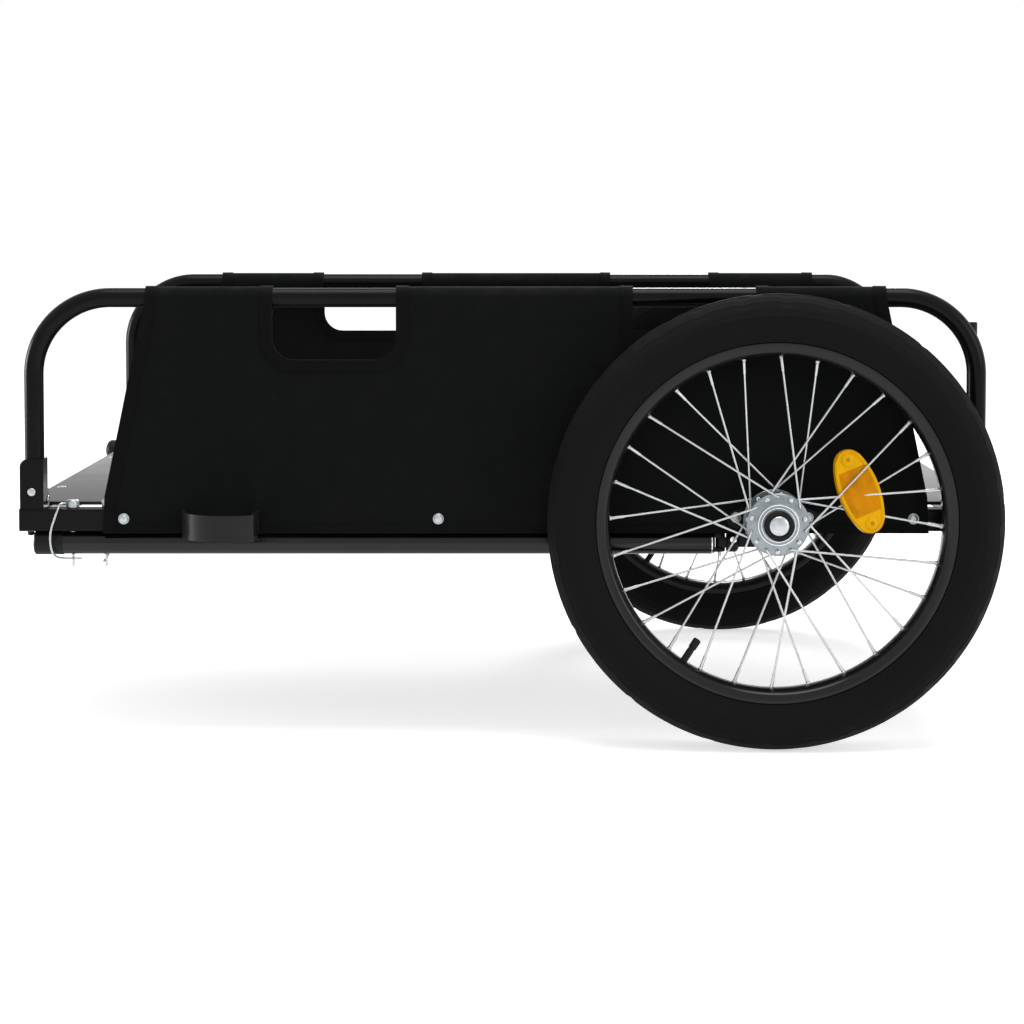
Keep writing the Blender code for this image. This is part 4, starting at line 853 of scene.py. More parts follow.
def sheet_half(s):
    """Half the cloth's length along X at a distance along its path."""
    if s < FOLD_STOP:
        return SHEET_FOOT_HALF + (SHEET_FOLD_HALF - SHEET_FOOT_HALF) * s / FOLD_STOP
    t = min((s - FOLD_STOP) / (CASING_START - FOLD_STOP), 1.0)
    return SHEET_FOLD_HALF + (SHEET_TOP_HALF - SHEET_FOLD_HALF) * t


def sheet_at(height):
    """The distance along the cloth's path of a height on its outer side."""
    if height < SHEET_FOLD:
        return height - SHEET_FOOT
    return FOLD_STOP + (height - SHEET_FOLD) / (RAIL_TOP - SHEET_FOLD) * (CASING_START - FOLD_STOP)


def cutout_line(centre, grow=0.0, drop=0.0, corner=0.0):
    """The edge of a hand cut-out in the flat cloth, from its rear side round its foot to its front side."""
    half, foot, radius = CUTOUT_HALF + grow, sheet_at(CUTOUT_FOOT) - drop, CUTOUT_CORNER + corner
    rear = arc((centre + half - radius, foot + radius), radius, 0, -90, 8)
    front = arc((centre - half + radius, foot + radius), radius, -90, -180, 8)
    return rear, front


def steps_to(start, end, count):
    """Values at equal distances from a start, which is left out, to an end."""
    return [start + (end - start) * i / count for i in range(1, count + 1)]


def between(a, b, count):
    """Points on a straight flat line."""
    return [(a[0] + (b[0] - a[0]) * i / count, a[1] + (b[1] - a[1]) * i / count) for i in range(count + 1)]


def flat_cloth(bm):
    """The cloth before it is put on: a grid of (x, distance along its path) with its hand cut-outs open."""
    column_width, band = 0.0145, 0.030
    corner = sheet_at(CUTOUT_FOOT) + CUTOUT_CORNER
    below = corner - band
    low_rows = [0.0, FOLD_STOP / 2, FOLD_STOP] + steps_to(FOLD_STOP, below, 12)
    rows = low_rows + steps_to(below, corner, 8) + steps_to(corner, CASING_START, 3) + SHEET_STOPS[3:]
    made = {}

    def vert(x, s):
        key = (round(x, 6), round(s, 6))
        if key not in made:
            made[key] = bm.verts.new((x, s, 0.0))
        return made[key]

    def grid(columns):
        for left, right in zip(columns, columns[1:]):
            for k in range(len(left) - 1):
                bm.faces.new((vert(*left[k]), vert(*right[k]), vert(*right[k + 1]), vert(*left[k + 1])))

    borders = [[(SHEET_X - sheet_half(s), s) for s in rows]]
    for centre in CUTOUT_X:
        for end, _ in ENDS:
            borders.append([(centre + end * CUTOUT_HALF, s) for s in rows])
    borders.append([(SHEET_X + sheet_half(s), s) for s in rows])
    for left, right in zip(borders[::2], borders[1::2]):
        count = max(2, round((right[0][0] - left[0][0]) / column_width))
        grid([[(a[0] + (b[0] - a[0]) * k / count, a[1]) for a, b in zip(left, right)]
              for k in range(count + 1)])
    for centre in CUTOUT_X:
        rear, front = cutout_line(centre)
        edge = front[::-1] + between(front[0], rear[-1], 7)[1:-1] + rear[::-1]
        grid([[(x, s) for s in low_rows + steps_to(below, top, 8)] for x, top in edge])


def thicken(bm, side, half):
    """Puts the flat cloth in place as two skins, with its edges closed between them."""
    outer = list(bm.verts)
    twins = {vert: bm.verts.new(on_sheet(side, vert.co.x, vert.co.y, -half)) for vert in outer}
    borders = [edge for edge in bm.edges if len(edge.link_faces) == 1]
    for face in list(bm.faces):
        bm.faces.new([twins[vert] for vert in reversed(face.verts)])
    for edge in borders:
        a, b = edge.verts
        bm.faces.new((a, b, twins[b], twins[a]))
    for vert in outer:
        vert.co = on_sheet(side, vert.co.x, vert.co.y, half)


def strip(bm, side, edge, inner, low, high):
    """A tape between an edge line and an inner line on the cloth, from one distance out of it to another."""
    rings = []
    for (x0, s0), (x1, s1) in zip(edge, inner):
        rings.append([bm.verts.new(on_sheet(side, x, s, out))
                      for x, s, out in ((x0, s0, low), (x0, s0, high), (x1, s1, high), (x1, s1, low))])
    span_rings(bm, rings, 0, False)
    bm.faces.new(rings[0][::-1])
    bm.faces.new(rings[-1])


def spaced(line, gap):
    """Points at equal distances along a flat line, each with the line's direction there."""
    made, carry = [], gap / 2
    for (x0, s0), (x1, s1) in zip(line, line[1:]):
        length = math.dist((x0, s0), (x1, s1))
        if length == 0:
            continue
        direction = ((x1 - x0) / length, (s1 - s0) / length)
        while carry <= length:
            made.append(((x0 + direction[0] * carry, s0 + direction[1] * carry), direction))
            carry += gap
        carry -= length
    return made


def stitches(bm, side, line, out, finish):
    """A row of stitches on the cloth."""
    gap = bpy.context.scene.trailer_sizes.stitch
    for (x, s), (dx, ds) in spaced(line, gap):
        half = gap * 0.33
        a = on_sheet(side, x - dx * half, s - ds * half, out)
        b = on_sheet(side, x + dx * half, s + ds * half, out)
        middle = on_sheet(side, x, s, out + math.copysign(0.00022, out))
        sweep(bm, [a, middle, b], [0.00012, 0.00022, 0.00012], 5, finish)


def edge_tapes():
    """Every tape on one side's cloth, as pairs of an edge line and an inner line."""
    width, overhang = bpy.context.scene.trailer_sizes.binding, 0.0002
    tapes = []
    levels = [0.0, FOLD_STOP * 0.5] + SHEET_STOPS[1:] + [CASING_START * k / 12 for k in range(1, 12)]
    levels = sorted(set(levels))
    for end, _ in ENDS:
        edge = [(SHEET_X + end * (sheet_half(s) + overhang), s) for s in levels]
        inner = [(SHEET_X + end * (sheet_half(s) - width), s) for s in levels]
        tapes.append((edge, inner))
    climb = [s for s in SHEET_STOPS if s > sheet_at(CUTOUT_FOOT) + 0.035]
    for centre in CUTOUT_X:
        lines = []
        for grow, drop, corner in ((-overhang, 0.0, 0.0), (width, width, 0.010)):
            rear, front = cutout_line(centre, grow, drop, corner)
            up = [(centre + CUTOUT_HALF + grow, s) for s in climb]
            down = [(2 * centre - x, s) for x, s in up]
            middle = between(rear[-1], front[0], 8)[1:-1]
            lines.append(up[::-1] + rear + middle + front + down)
        tapes.append(lines)
    return tapes


def cloth_spans():
    """The lengths of cloth on the rail, between its ends and its cut-outs."""
    edges = [SHEET_X - SHEET_TOP_HALF]
    for centre in CUTOUT_X:
        edges += [centre - CUTOUT_HALF, centre + CUTOUT_HALF]
    edges.append(SHEET_X + SHEET_TOP_HALF)
    return list(zip(edges[::2], edges[1::2]))


def make_binding(side, word, half):
    """The tapes round the cloth's edges, the hem at its foot, and every row of stitches."""
    outer, inner_face, hem_face, seam_share = half + 0.0007, -half - 0.0005, half + 0.0003, 0.82
    bm = bmesh.new()
    for edge, inner in edge_tapes():
        strip(bm, side, edge, inner, half - 0.0001, outer)
        strip(bm, side, edge, inner, -half + 0.0001, inner_face)
        seam = [(a[0] + (b[0] - a[0]) * seam_share, a[1] + (b[1] - a[1]) * seam_share)
                for a, b in zip(edge, inner)]
        stitches(bm, side, seam, outer, 1)
        stitches(bm, side, seam, inner_face, 1)
    reach = sheet_half(0) - 0.010
    foot = between((SHEET_X - reach, 0.0), (SHEET_X + reach, 0.0), 40)
    strip(bm, side, foot, [(x, 0.0095) for x, _ in foot], half - 0.0001, hem_face)
    stitches(bm, side, [(x, 0.0078) for x, _ in foot], hem_face, 1)
    for low, high in cloth_spans():
        line = between((low + 0.011, 0.0), (high - 0.011, 0.0), 20)
        for row in (sheet_at(CASING_SEAM_Z), SHEET_LENGTH - 0.003):
            stitches(bm, side, [(x, row) for x, _ in line], half + 0.00005, 1)
    return piece("fabric_binding_" + word, bm, finishes("binding", "thread"), None, (), 50)


def make_side_fabric(side, word):
    """The cloth of one side, from its bolted foot to the sleeve round the rail, with tapes and stitches."""
    half = bpy.context.scene.trailer_sizes.fabric / 2
    bm = bmesh.new()
    flat_cloth(bm)
    area = sum(f.calc_area() for f in bm.faces)
    thicken(bm, side, half)
    cloth = piece("side_fabric_" + word, bm, finishes("cloth"), None,
                  ["fabric_panel_" + word, "fabric_skirt_" + word], 50)
    tape = make_binding(side, word, half)
    for made in (cloth, tape):
        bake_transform(made)


def make_flag_holder():
    """The open tube for a flag pole, welded inside the left rear leg by two short seams."""
    bore, lip, floor = 0.00315, 0.0004, FLAG_FOOT + 0.003
    tube = [(0.0, FLAG_FOOT), (FLAG_RADIUS - lip, FLAG_FOOT), (FLAG_RADIUS, FLAG_FOOT + lip),
            (FLAG_RADIUS, FLAG_TOP - lip), (FLAG_RADIUS - lip, FLAG_TOP), (bore, FLAG_TOP), (bore, floor),
            (0.0, floor)]
    seam_x, seam_y, seam_feet = 0.4163, -0.2912, (0.303, 0.317)
    seam = [(0.0, 0.0), (0.0016, 0.0004), (0.0022, 0.0014), (0.0022, 0.0066), (0.0016, 0.0076), (0.0, 0.008)]
    bm = bmesh.new()
    lathe(bm, tube, (FLAG_X, -FLAG_Y, 0), (0, 0, 1), 28)
    for foot in seam_feet:
        lathe(bm, seam, (seam_x, seam_y, foot), (0, 0, 1), 18)
    piece("flag_tube", bm, finishes("plastic"), "side_frame_left", ["flag_holder"])


# Wheels

def wheel_point(side, radius, angle, out):
    """A point on a wheel: its angle in degrees from the top towards the rear, and its distance out."""
    turn = math.radians(angle)
    return Vector((AXLE_X + radius * math.sin(turn), side * (WHEEL_Y + out),
                   WHEEL_RADIUS + radius * math.cos(turn)))


def wheel_axis(side):
    """A wheel's centre and the direction of its axle."""
    return (AXLE_X, side * WHEEL_Y, WHEEL_RADIUS), (0, side, 0)


def make_tyre(side, word):
    """The tyre, with ribs on its sidewalls and shallow blocks in its tread."""
    tread, steps = bpy.context.scene.trailer_sizes.tread, 256
    crown = []
    for angle in range(0, 106, 5):
        radius, out = arc((TYRE_CENTRE, 0), TYRE_HALF, angle, angle, 1)[0]
        if 10 <= angle <= 15:
            radius -= tread * 0.8
        if angle in (45, 80):
            radius += 0.0004
            out += 0.0004
        crown.append((radius, out))
    bead = [(RIM_EDGE + 0.0035, 0.0152), (RIM_EDGE + 0.0003, 0.0148), (RIM_EDGE + 0.0003, RIM_HALF - 0.0019),
            (BEAD_FOOT, RIM_HALF - 0.0019), (BEAD_FOOT, RIM_HALF - 0.0059)]
    lining = arc((TYRE_CENTRE, 0), TYRE_HALF - 0.004, 100, 0, 8)
    profile = mirrored(crown + bead + lining)
    bm = bmesh.new()
    lathe(bm, profile, *wheel_axis(side), steps)
    middle = Vector((AXLE_X, 0, WHEEL_RADIUS))
    for index, vert in enumerate(bm.verts):
        ring, step = divmod(index, steps)
        radius, out = profile[ring]
        on_shoulder = radius > TYRE_CENTRE + TYRE_HALF * 0.55 and abs(out) > 0.005
        on_rib = radius > TYRE_CENTRE + TYRE_HALF * 0.9 and abs(out) <= 0.0035
        stagger = 2 if out > 0 else 0
        if (on_shoulder and (step + stagger) % 8 < 2) or (on_rib and step % 16 == 4):
            flat = Vector((vert.co.x, 0, vert.co.z)) - middle
            vert.co -= flat.normalized() * tread * (0.75 if on_shoulder else 0.5)
    piece("tread_tyre_" + word, bm, finishes("tyre"), "wheel_" + word, ["tyre_" + word], 30)


def make_rim(side, word):
    """The black rim with its rolled edges."""
    outer = [(RIM_EDGE, RIM_HALF - 0.0004), (RIM_EDGE - 0.0006, RIM_HALF), (RIM_SHOULDER + 0.001, RIM_HALF),
             (RIM_SHOULDER - 0.0004, RIM_HALF - 0.0008), (RIM_INNER + 0.0018, RIM_WELL + 0.002),
             (RIM_INNER + 0.0004, RIM_WELL - 0.0005), (RIM_INNER, RIM_WELL - 0.003), (RIM_INNER, 0.0)]
    inner = [(RIM_INNER + 0.0016, 0.0), (RIM_INNER + 0.0016, RIM_WELL - 0.001),
             (RIM_SHOULDER + 0.0008, RIM_HALF - 0.0016), (RIM_EDGE - 0.0004, RIM_HALF - 0.0016),
             (RIM_EDGE, RIM_HALF - 0.0012)]
    turned_piece("rolled_rim_" + word, mirrored(inner + outer), *wheel_axis(side), 160,
                 "rim", "wheel_" + word, "rim", "rim_" + word, 30)


def make_inner_tube(side, word):
    """The inner tube, and its rubber valve stem with a cap."""
    bm = bmesh.new()
    lathe(bm, arc((TYRE_CENTRE, 0), 0.0155, 0, 345, 23), *wheel_axis(side), 96)
    start = TYRE_CENTRE - 0.0145
    foot, tip = (wheel_point(side, radius, VALVE_ANGLE, 0) for radius in (start, VALVE_TIP))
    length = start - VALVE_TIP
    stem = [(0.0, 0.0), (0.0032, 0.0), (0.0032, length - 0.012), (0.0029, length - 0.0115),
            (0.0029, length - 0.010), (0.0036, length - 0.0098), (0.0037, length - 0.002),
            (0.0030, length - 0.0004), (0.0, length)]
    lathe(bm, stem, foot, (tip - foot).normalized(), 20)
    piece("air_tube_" + word, bm, finishes("plastic"), "wheel_" + word, ["inner_tube_" + word])


def make_spokes(side, word):
    """The laced spokes of both flanges with their nipples. Every other spoke lies outside its flange."""
    thin, clearance = bpy.context.scene.trailer_sizes.spoke, 0.0006
    head = [(0.0, 0.0), (0.0019, 0.0), (0.0019, 0.0006), (0.0012, 0.0012), (0.0, 0.0013)]
    nipple = [(0.0, -0.0012), (0.0020, -0.0012), (0.0020, 0.0004), (0.0015, 0.0010), (0.0014, 0.0112),
              (0.0011, 0.0122), (0.0, 0.0124)]
    for flange, flange_word, first in ((1, "outer", 0), (-1, "inner", 1)):
        bm = bmesh.new()
        for k in range(first, SPOKE_COUNT, 2):
            lean = 1 if (k // 2) % 2 == 0 else -1
            angle = SPOKE_PHASE + k * 360 / SPOKE_COUNT
            near = FLANGE_OUT + (FLANGE_HALF + thin + clearance) * lean
            far = FLANGE_OUT - (FLANGE_HALF + clearance) * lean
            rim_end = wheel_point(side, RIM_INNER - 0.0012, angle, flange * 0.002)
            hole, through = (wheel_point(side, SPOKE_CIRCLE, angle + lean * SPOKE_TURN, flange * out)
                             for out in (near, far))
            sweep(bm, rounded_path([rim_end, hole, through], 0.0026, 5), thin, 10)
            lathe(bm, head, through, (through - hole).normalized(), 14)
            lathe(bm, nipple, rim_end, (hole - rim_end).normalized(), 12)
        name = f"{flange_word}_{word}"
        piece("laced_spokes_" + name, bm, finishes("spoke"), "wheel_" + word,
              ["spokes_" + name])


def make_hub(side, word):
    """The hub with its two flanges, and its sealed bearings."""
    centre, axis = wheel_axis(side)
    face_out, face_in = FLANGE_OUT + FLANGE_HALF, FLANGE_OUT - FLANGE_HALF
    edge = FLANGE_RADIUS - 0.0006
    upper = [(0.0085, 0.0147), (0.0145, 0.0147), (0.0145, HUB_END - 0.0004), (0.0149, HUB_END),
             (0.0173, HUB_END), (0.0178, HUB_END - 0.0005), (0.0180, face_out + 0.0008), (0.0192, face_out),
             (edge, face_out), (FLANGE_RADIUS, face_out - 0.0005), (FLANGE_RADIUS, face_in + 0.0005),
             (edge, face_in), (0.0185, face_in), (0.0170, face_in - 0.0015), (0.0160, 0.010)]
    bm = bmesh.new()
    lathe(bm, mirrored(upper), centre, axis, 64)
    # Two thin rings of the bright finish on each end face. The outer one, at the face's rim, is a painted
    # highlight of that rim's edge; the inner one rings the bore.
    low, high = HUB_END - 0.0003, HUB_END + 0.00015
    for flange in (-1, 1):
        for radius, width in ((0.0149, 0.0005), (0.0178, 0.0006)):
            ring = [(radius - width, low), (radius - width, high), (radius, high), (radius, low)]
            lathe(bm, [(r, flange * h) for r, h in ring], centre, axis, 64, 1)
    piece("turned_hub_" + word, bm, finishes("galvanised", "bright"), "wheel_" + word,
          ["hub_shell_" + word])
    low, high, sunk = HUB_END - 0.008, HUB_END - 0.0001, HUB_END - 0.0005
    seal = [(0.0063, low), (0.0142, low), (0.0142, HUB_END - 0.0004), (0.0139, high), (0.0132, high),
            (0.0130, sunk), (0.0072, sunk), (0.0070, high), (0.0063, high)]
    for end, end_word in ((1, "outer"), (-1, "inner")):
        name = f"{end_word}_{word}"
        turned_piece("bearing_race_" + name, [(radius, end * out) for radius, out in seal], centre, axis, 40,
                     "zinc", "wheel_" + word, "bearing_steel", "bearing_" + name)


def reflector_outline(inset, stop=None):
    """The reflector's edge, or a line inside it: two flat arcs that run smoothly into round ends.

    With a stop, the arcs end at that distance from the middle and the ends are straight.
    """
    half_width, end, reach = REFLECTOR_HALF_WIDTH, REFLECTOR_END, REFLECTOR_HALF - REFLECTOR_END
    flank = (reach ** 2 + half_width ** 2 - end ** 2) / (2 * (half_width - end))
    drop = flank - half_width
    if stop:
        lean = math.degrees(math.acos(stop / (flank - inset)))
        outline = arc((0, -drop), flank - inset, lean, 180 - lean, 14)
    else:
        lean = math.degrees(math.atan2(drop, reach))
        outline = arc((reach, 0), end - inset, -lean, lean, 10)
        outline += arc((0, -drop), flank - inset, lean, 180 - lean, 14)[1:-1]
    return outline + [(-x, -y) for x, y in outline]


def make_reflector(side, word):
    """The amber spoke reflector: its prisms, the raised border round them and its two bosses."""
    half_depth, boss_x, prism_end = 0.004, REFLECTOR_HALF - REFLECTOR_END + 0.0040, 0.0207
    boss = [(0.0, 0.0), (0.0062, 0.0), (0.0059, 0.0010), (0.0048, 0.0018), (0.0, 0.0021)]
    stud = [(0.0, 0.0017), (0.0019, 0.0017), (0.0017, 0.0024), (0.0, 0.0025)]
    place = Matrix.Translation(wheel_point(side, REFLECTOR_RADIUS, REFLECTOR_ANGLE, REFLECTOR_OUT))
    place = place @ Matrix.Rotation(math.radians(REFLECTOR_ANGLE), 4, "Y")
    place = place @ Matrix.Rotation(math.radians(90 + side * REFLECTOR_LEAN), 4, "X")
    bm = bmesh.new()
    slab(bm, reflector_outline(0.0), 2 * half_depth - 0.0012, place, 0.0010, 3, 1)
    slab(bm, reflector_outline(0.0034, prism_end), 2 * half_depth - 0.0004, place, 0.0003, 1, 0)
    for face in (-1, 1):
        low, high = face * (half_depth - 0.0010), face * half_depth
        rings = []
        for inset, lift in ((0.0008, low), (0.0011, high), (0.0026, high), (0.0030, low)):
            rings.append([bm.verts.new(place @ Vector((x, y, lift))) for x, y in reflector_outline(inset)])
        span_rings(bm, rings, 1, True)
        out = (place.to_3x3() @ Vector((0, 0, face))).normalized()
        for end in (-1, 1):
            spot = place @ Vector((end * boss_x, 0.0, low))
            lathe(bm, boss, spot, out, 28, 1)
            lathe(bm, stud, spot, out, 18, 0)
    piece("amber_reflector_" + word, bm, finishes("amber", "amber_border"), "wheel_" + word,
          ["reflector_" + word])


def make_axle(side, word):
    """The quick release axle with its round black head, and the domed button in it."""
    low, high, pocket = HUB_END + 0.0003, HUB_END + 0.0073, HUB_END + 0.0023
    floor, tip = pocket - 0.018, AXLE_TIP_Y - WHEEL_Y
    axle = [(0.0, floor), (0.0028, floor), (0.0028, pocket), (0.0091, pocket), (0.0091, high - 0.0006),
            (0.0096, high), (0.0124, high), (0.0131, high - 0.0008), (0.0131, low + 0.0006), (0.0126, low),
            (0.006, low), (0.006, tip + 0.0016), (0.0044, tip), (0.0, tip)]
    turned_piece("release_axle_" + word, axle, *wheel_axis(side), 48, "plastic", "axle_" + word,
                 "black_plastic", "axle_" + word)
    base, dome, radius, stem = HUB_END + 0.0056, 0.004, 0.0088, 0.0155
    crown = [(radius * math.sin(turn), base + dome * (0.3 + 0.7 * math.cos(turn)))
             for turn in (math.radians(a) for a in range(12, 91, 13))]
    button = [(0.0, base + dome)] + crown + [(radius, base + 0.0012), (radius, base), (0.0025, base),
                                             (0.0025, base - stem), (0.0, base - stem)]
    turned_piece("push_button_" + word, button, *wheel_axis(side), 40, "button", "release_button_" + word,
                 "bright_steel", "release_button_" + word)


# Tow bar

def make_tow_bar():
    """The stowed bar and its end cap."""
    bevel, bore = BAR_RADIUS - 0.0003, BAR_RADIUS - 0.0013
    bar = [(bore, BAR_FRONT), (bevel, BAR_FRONT), (BAR_RADIUS, BAR_FRONT + 0.0003),
           (BAR_RADIUS, BAR_REAR - 0.0003), (bevel, BAR_REAR), (bore, BAR_REAR)]
    turned_piece("stowed_bar", bar, (0, -RAIL_Y, BAR_Z), (1, 0, 0), 40, "gloss_paint", BASE, "frame_paint",
                 "tow_bar")
    inner, outer, length = BAR_RADIUS + 0.0001, BAR_RADIUS + 0.0006, 0.0245
    cap = [(0.0, -0.0013), (outer - 0.0014, -0.0013), (outer, 0.0), (outer, length - 0.0003),
           (outer - 0.0003, length), (inner, length), (inner, -0.0002), (0.0, -0.0002)]
    turned_piece("bar_end_cap", cap, (BAR_FRONT, -RAIL_Y, BAR_Z), (1, 0, 0), 40, "plastic", BASE,
                 "black_plastic", "tow_bar_cap")


def make_pins():
    """The two upright pins with their wire latches."""
    for x, radius, head, name, carrier in ((TOW_PIN_X, 0.003, 0.0057, "tow_pin", "tow_pin"),
                                           (LOCK_PIN_X, 0.0026, 0.0038, "lock_pin", BASE)):
        profile = [(0.0, PIN_HEAD_TOP), (head * 0.72, PIN_HEAD_TOP), (head * 0.92, PIN_HEAD_TOP - 0.0008),
                   (head, PIN_HEAD_TOP - 0.002), (head, PIN_SEAT + 0.0004), (head * 0.94, PIN_SEAT),
                   (radius, PIN_SEAT), (radius, PIN_NECK + 0.0012), (0.0012, PIN_NECK),
                   (0.0012, PIN_TIP + 0.0005), (0.0009, PIN_TIP), (0.0, PIN_TIP)]
        turned_piece("headed_" + name, profile, (x, -RAIL_Y, 0), (0, 0, 1), 32, "zinc", carrier, "zinc",
                     name)
    for x, path, name in ((TOW_PIN_X, TOW_LATCH, "tow_pin_latch"),
                          (LOCK_PIN_X, LOCK_LATCH, "lock_pin_latch")):
        points = [Vector((x + dx, -RAIL_Y + dy, LATCH_Z + dz)) for dx, dy, dz in path]
        bm = bmesh.new()
        sweep(bm, rounded_path(points, 0.012, 6), 0.001, 12)
        piece("wire_" + name, bm, finishes("zinc"), name, [name])


def make_clevis():
    """The fork in the bar's rear end with a bright collar, and the pin through it."""
    y, z, collar, plug = -RAIL_Y, BAR_Z, BAR_REAR + 0.0003, BAR_RADIUS - 0.0016
    face, ear_radius, ear_low, ear_high = collar + 0.0027, 0.005, 0.0047, 0.008
    bm = bmesh.new()
    fork = [(0.0, BAR_REAR - 0.025), (plug, BAR_REAR - 0.025), (plug, collar), (0.0091, collar),
            (0.0095, collar + 0.0005), (0.0095, face - 0.0005), (0.0091, face), (0.0, face)]
    lathe(bm, fork, (0, y, z), (1, 0, 0), 40)
    inner, outer, start, stop = BAR_RADIUS - 0.0010, BAR_RADIUS + 0.0006, BAR_REAR - 0.0001, collar + 0.0006
    lathe(bm, [(inner, start), (outer, start), (outer, stop), (inner, stop)], (0, y, z), (1, 0, 0), 40, 1)
    ear = [(face - 0.001, -ear_radius)] + arc((PIVOT_X, 0), ear_radius, -90, 90, 14)
    ear += [(face - 0.001, ear_radius)]
    for sign in (-1, 1):
        middle = z + sign * (ear_low + ear_high) / 2
        slab(bm, ear, ear_high - ear_low, Matrix.Translation((0, y, middle)), 0.0004, 2)
    piece("hitch_clevis", bm, finishes("plastic", "bright"), BASE, ["hitch_fork"])
    top, tip = z + 0.0083, 0.1655
    pin = [(0.0, top + 0.0015), (0.0024, top + 0.0014), (0.003, top + 0.0008), (0.003, top), (0.0018, top),
           (0.0018, tip + 0.0004), (0.0013, tip), (0.0, tip)]
    turned_piece("pivot_pin", pin, (PIVOT_X, y, 0), (0, 0, 1), 24, "zinc", BASE, "zinc", "hitch_pin")


def make_coupler():
    """The coupler: its tongue between the fork's ears, round nose and flat arm, and its cross bolt."""
    y, z, radius, length, start, arm = -RAIL_Y, BAR_Z, 0.0085, 0.012, PIVOT_X + 0.0058, 0.0165
    nose = [(radius * math.sin(turn) ** 0.8, length * (0.62 + 0.38 * math.cos(turn)))
            for turn in (math.radians(a) for a in range(8, 90, 9))]
    profile = [(0.0, length)] + nose + [(radius, length * 0.6), (radius, 0.0012), (radius - 0.0011, 0.0),
                                        (0.0, 0.0)]
    bm = bmesh.new()
    lathe(bm, profile, (start, y, z), (1, 0, 0), 40)
    half, thickness = 0.0036, 0.0088
    tongue = arc((PIVOT_X, 0), half, 90, 270, 12) + [(start + 0.003, -half), (start + 0.003, half)]
    slab(bm, tongue, thickness, Matrix.Translation((0, y, z)), 0.0003, 1)
    # The arm's outline is in its own upright plane, with its far end rounded
    low, high, end, corner = -0.0038, 0.0074, start + length + arm, 0.004
    outline = [(start + length * 0.6, low)] + arc((end - corner, low + corner), corner, -90, 0, 6)
    outline += arc((end - corner, high - corner), corner, 0, 90, 6) + [(start + length * 0.6, high)]
    upright = Matrix.Translation((0, y, z)) @ Matrix.Rotation(math.radians(90), 4, "X")
    slab(bm, outline, thickness, upright, 0.0008, 2)
    piece("coupler_body", bm, finishes("plastic"), "hitch_coupler", ["hitch_coupler"])
    seat = radius + 0.0003
    bolt = [(0.0, seat + 0.0012), (0.0022, seat + 0.0012), (0.003, seat + 0.0006), (0.003, seat),
            (0.002, seat)]
    turned_piece("coupler_cross_bolt", mirrored(bolt), (start + length / 2, y, z + 0.0035), (0, -1, 0), 24,
                 "bright", "hitch_coupler", "bright_steel", "coupler_bolt")


# Stage

def seen_directly(tree):
    """1 for what the camera, a reflection or clear plastic shows, and 0 for what only lights."""
    path = tree.nodes.new("ShaderNodeLightPath").outputs
    return maths(tree, "MAXIMUM", path["Is Camera Ray"],
                 maths(tree, "MAXIMUM", path["Is Glossy Ray"], path["Is Transmission Ray"]))


def make_floor():
    """A wide floor of white paper that keeps the trailer's shadow."""
    bm = bmesh.new()
    bmesh.ops.create_grid(bm, x_segments=4, y_segments=4, size=60.0)
    mesh = bpy.data.meshes.new("studio_floor")
    bm.to_mesh(mesh)
    bm.free()
    floor = bpy.data.objects.new("studio_floor", mesh)
    bpy.context.scene.collection.objects.link(floor)
    paper = bpy.data.materials.new("white_paper")
    paper.use_nodes = True
    tree = paper.node_tree
    shader = tree.nodes["Principled BSDF"]
    for name, value in (("Base Color", (0.86, 0.86, 0.86, 1.0)), ("Roughness", 0.9),
                        ("Specular IOR Level", 0.0), ("Emission Color", (1.0, 1.0, 1.0, 1.0))):
        shader.inputs[name].default_value = value
    glow = product(tree, seen_directly(tree), 0.60)
    feed(tree, shader.inputs["Emission Strength"], glow)
    mesh.materials.append(paper)


def make_world():
    """White all round, and dimmer as a light than as a background."""
    world = bpy.data.worlds.new("studio")
    bpy.context.scene.world = world
    world.use_nodes = True
    tree = world.node_tree
    sky = tree.nodes["Background"]
    sky.inputs["Color"].default_value = (1.0, 1.0, 1.0, 1.0)
    feed(tree, sky.inputs["Strength"], ramp(tree, seen_directly(tree), 0.0, 1.0, 0.55, 1.0))


def make_lamp(name, place, target, size, power):
    """A round soft lamp that points at a target."""
    data = bpy.data.lights.new(name, "AREA")
    data.shape = "DISK"
    data.size = size
    data.energy = power
    made = bpy.data.objects.new(name, data)
    made.location = place
    made.rotation_euler = (Vector(target) - Vector(place)).to_track_quat("-Z", "Y").to_euler()
    bpy.context.scene.collection.objects.link(made)


def make_camera():
    """The camera at the photograph's place."""
    scene = bpy.context.scene
    camera = bpy.data.objects.new("camera", bpy.data.cameras.new("camera"))
    scene.collection.objects.link(camera)
    camera.location = (0.0159, -2.6349, 0.4638)
    camera.rotation_euler = (math.radians(90 - 3.2), 0.0, 0.0)
    camera.data.sensor_width = 36.0
    camera.data.lens = 92.815
    camera.data.shift_x = -0.0108
    camera.data.shift_y = -0.1411
    camera.data.clip_start = 0.05
    camera.data.clip_end = 100.0
    scene.camera = camera
    scene.view_settings.view_transform = "Standard"


def make_stage():
    """A white floor, soft light from all round, and the camera."""
    make_floor()
    make_world()
    for name, place, target, size, power in (
            ("overhead_softbox", (0.2, -0.6, 3.2), (0.0, 0.0, 0.2), 2.4, 62.0),
            ("left_softbox", (-3.1, 0.3, 0.62), (0.0, 0.0, 0.2), 1.1, 44.0),
            ("right_softbox", (2.8, -1.8, 1.2), (0.1, 0.0, 0.2), 1.8, 20.0),
            ("back_softbox", (0.4, 3.0, 1.9), (0.0, 0.0, 0.2), 1.0, 40.0)):
        make_lamp(name, place, target, size, power)
    make_camera()


# Operators

class TrailerStep(bpy.types.Operator):
    """What every step shares: it can be undone and run again."""

    bl_options = {"REGISTER", "UNDO"}


def both_sides(maker):
    """Runs a maker for the left side and the right."""
    for side, word in SIDES:
        maker(side, word)


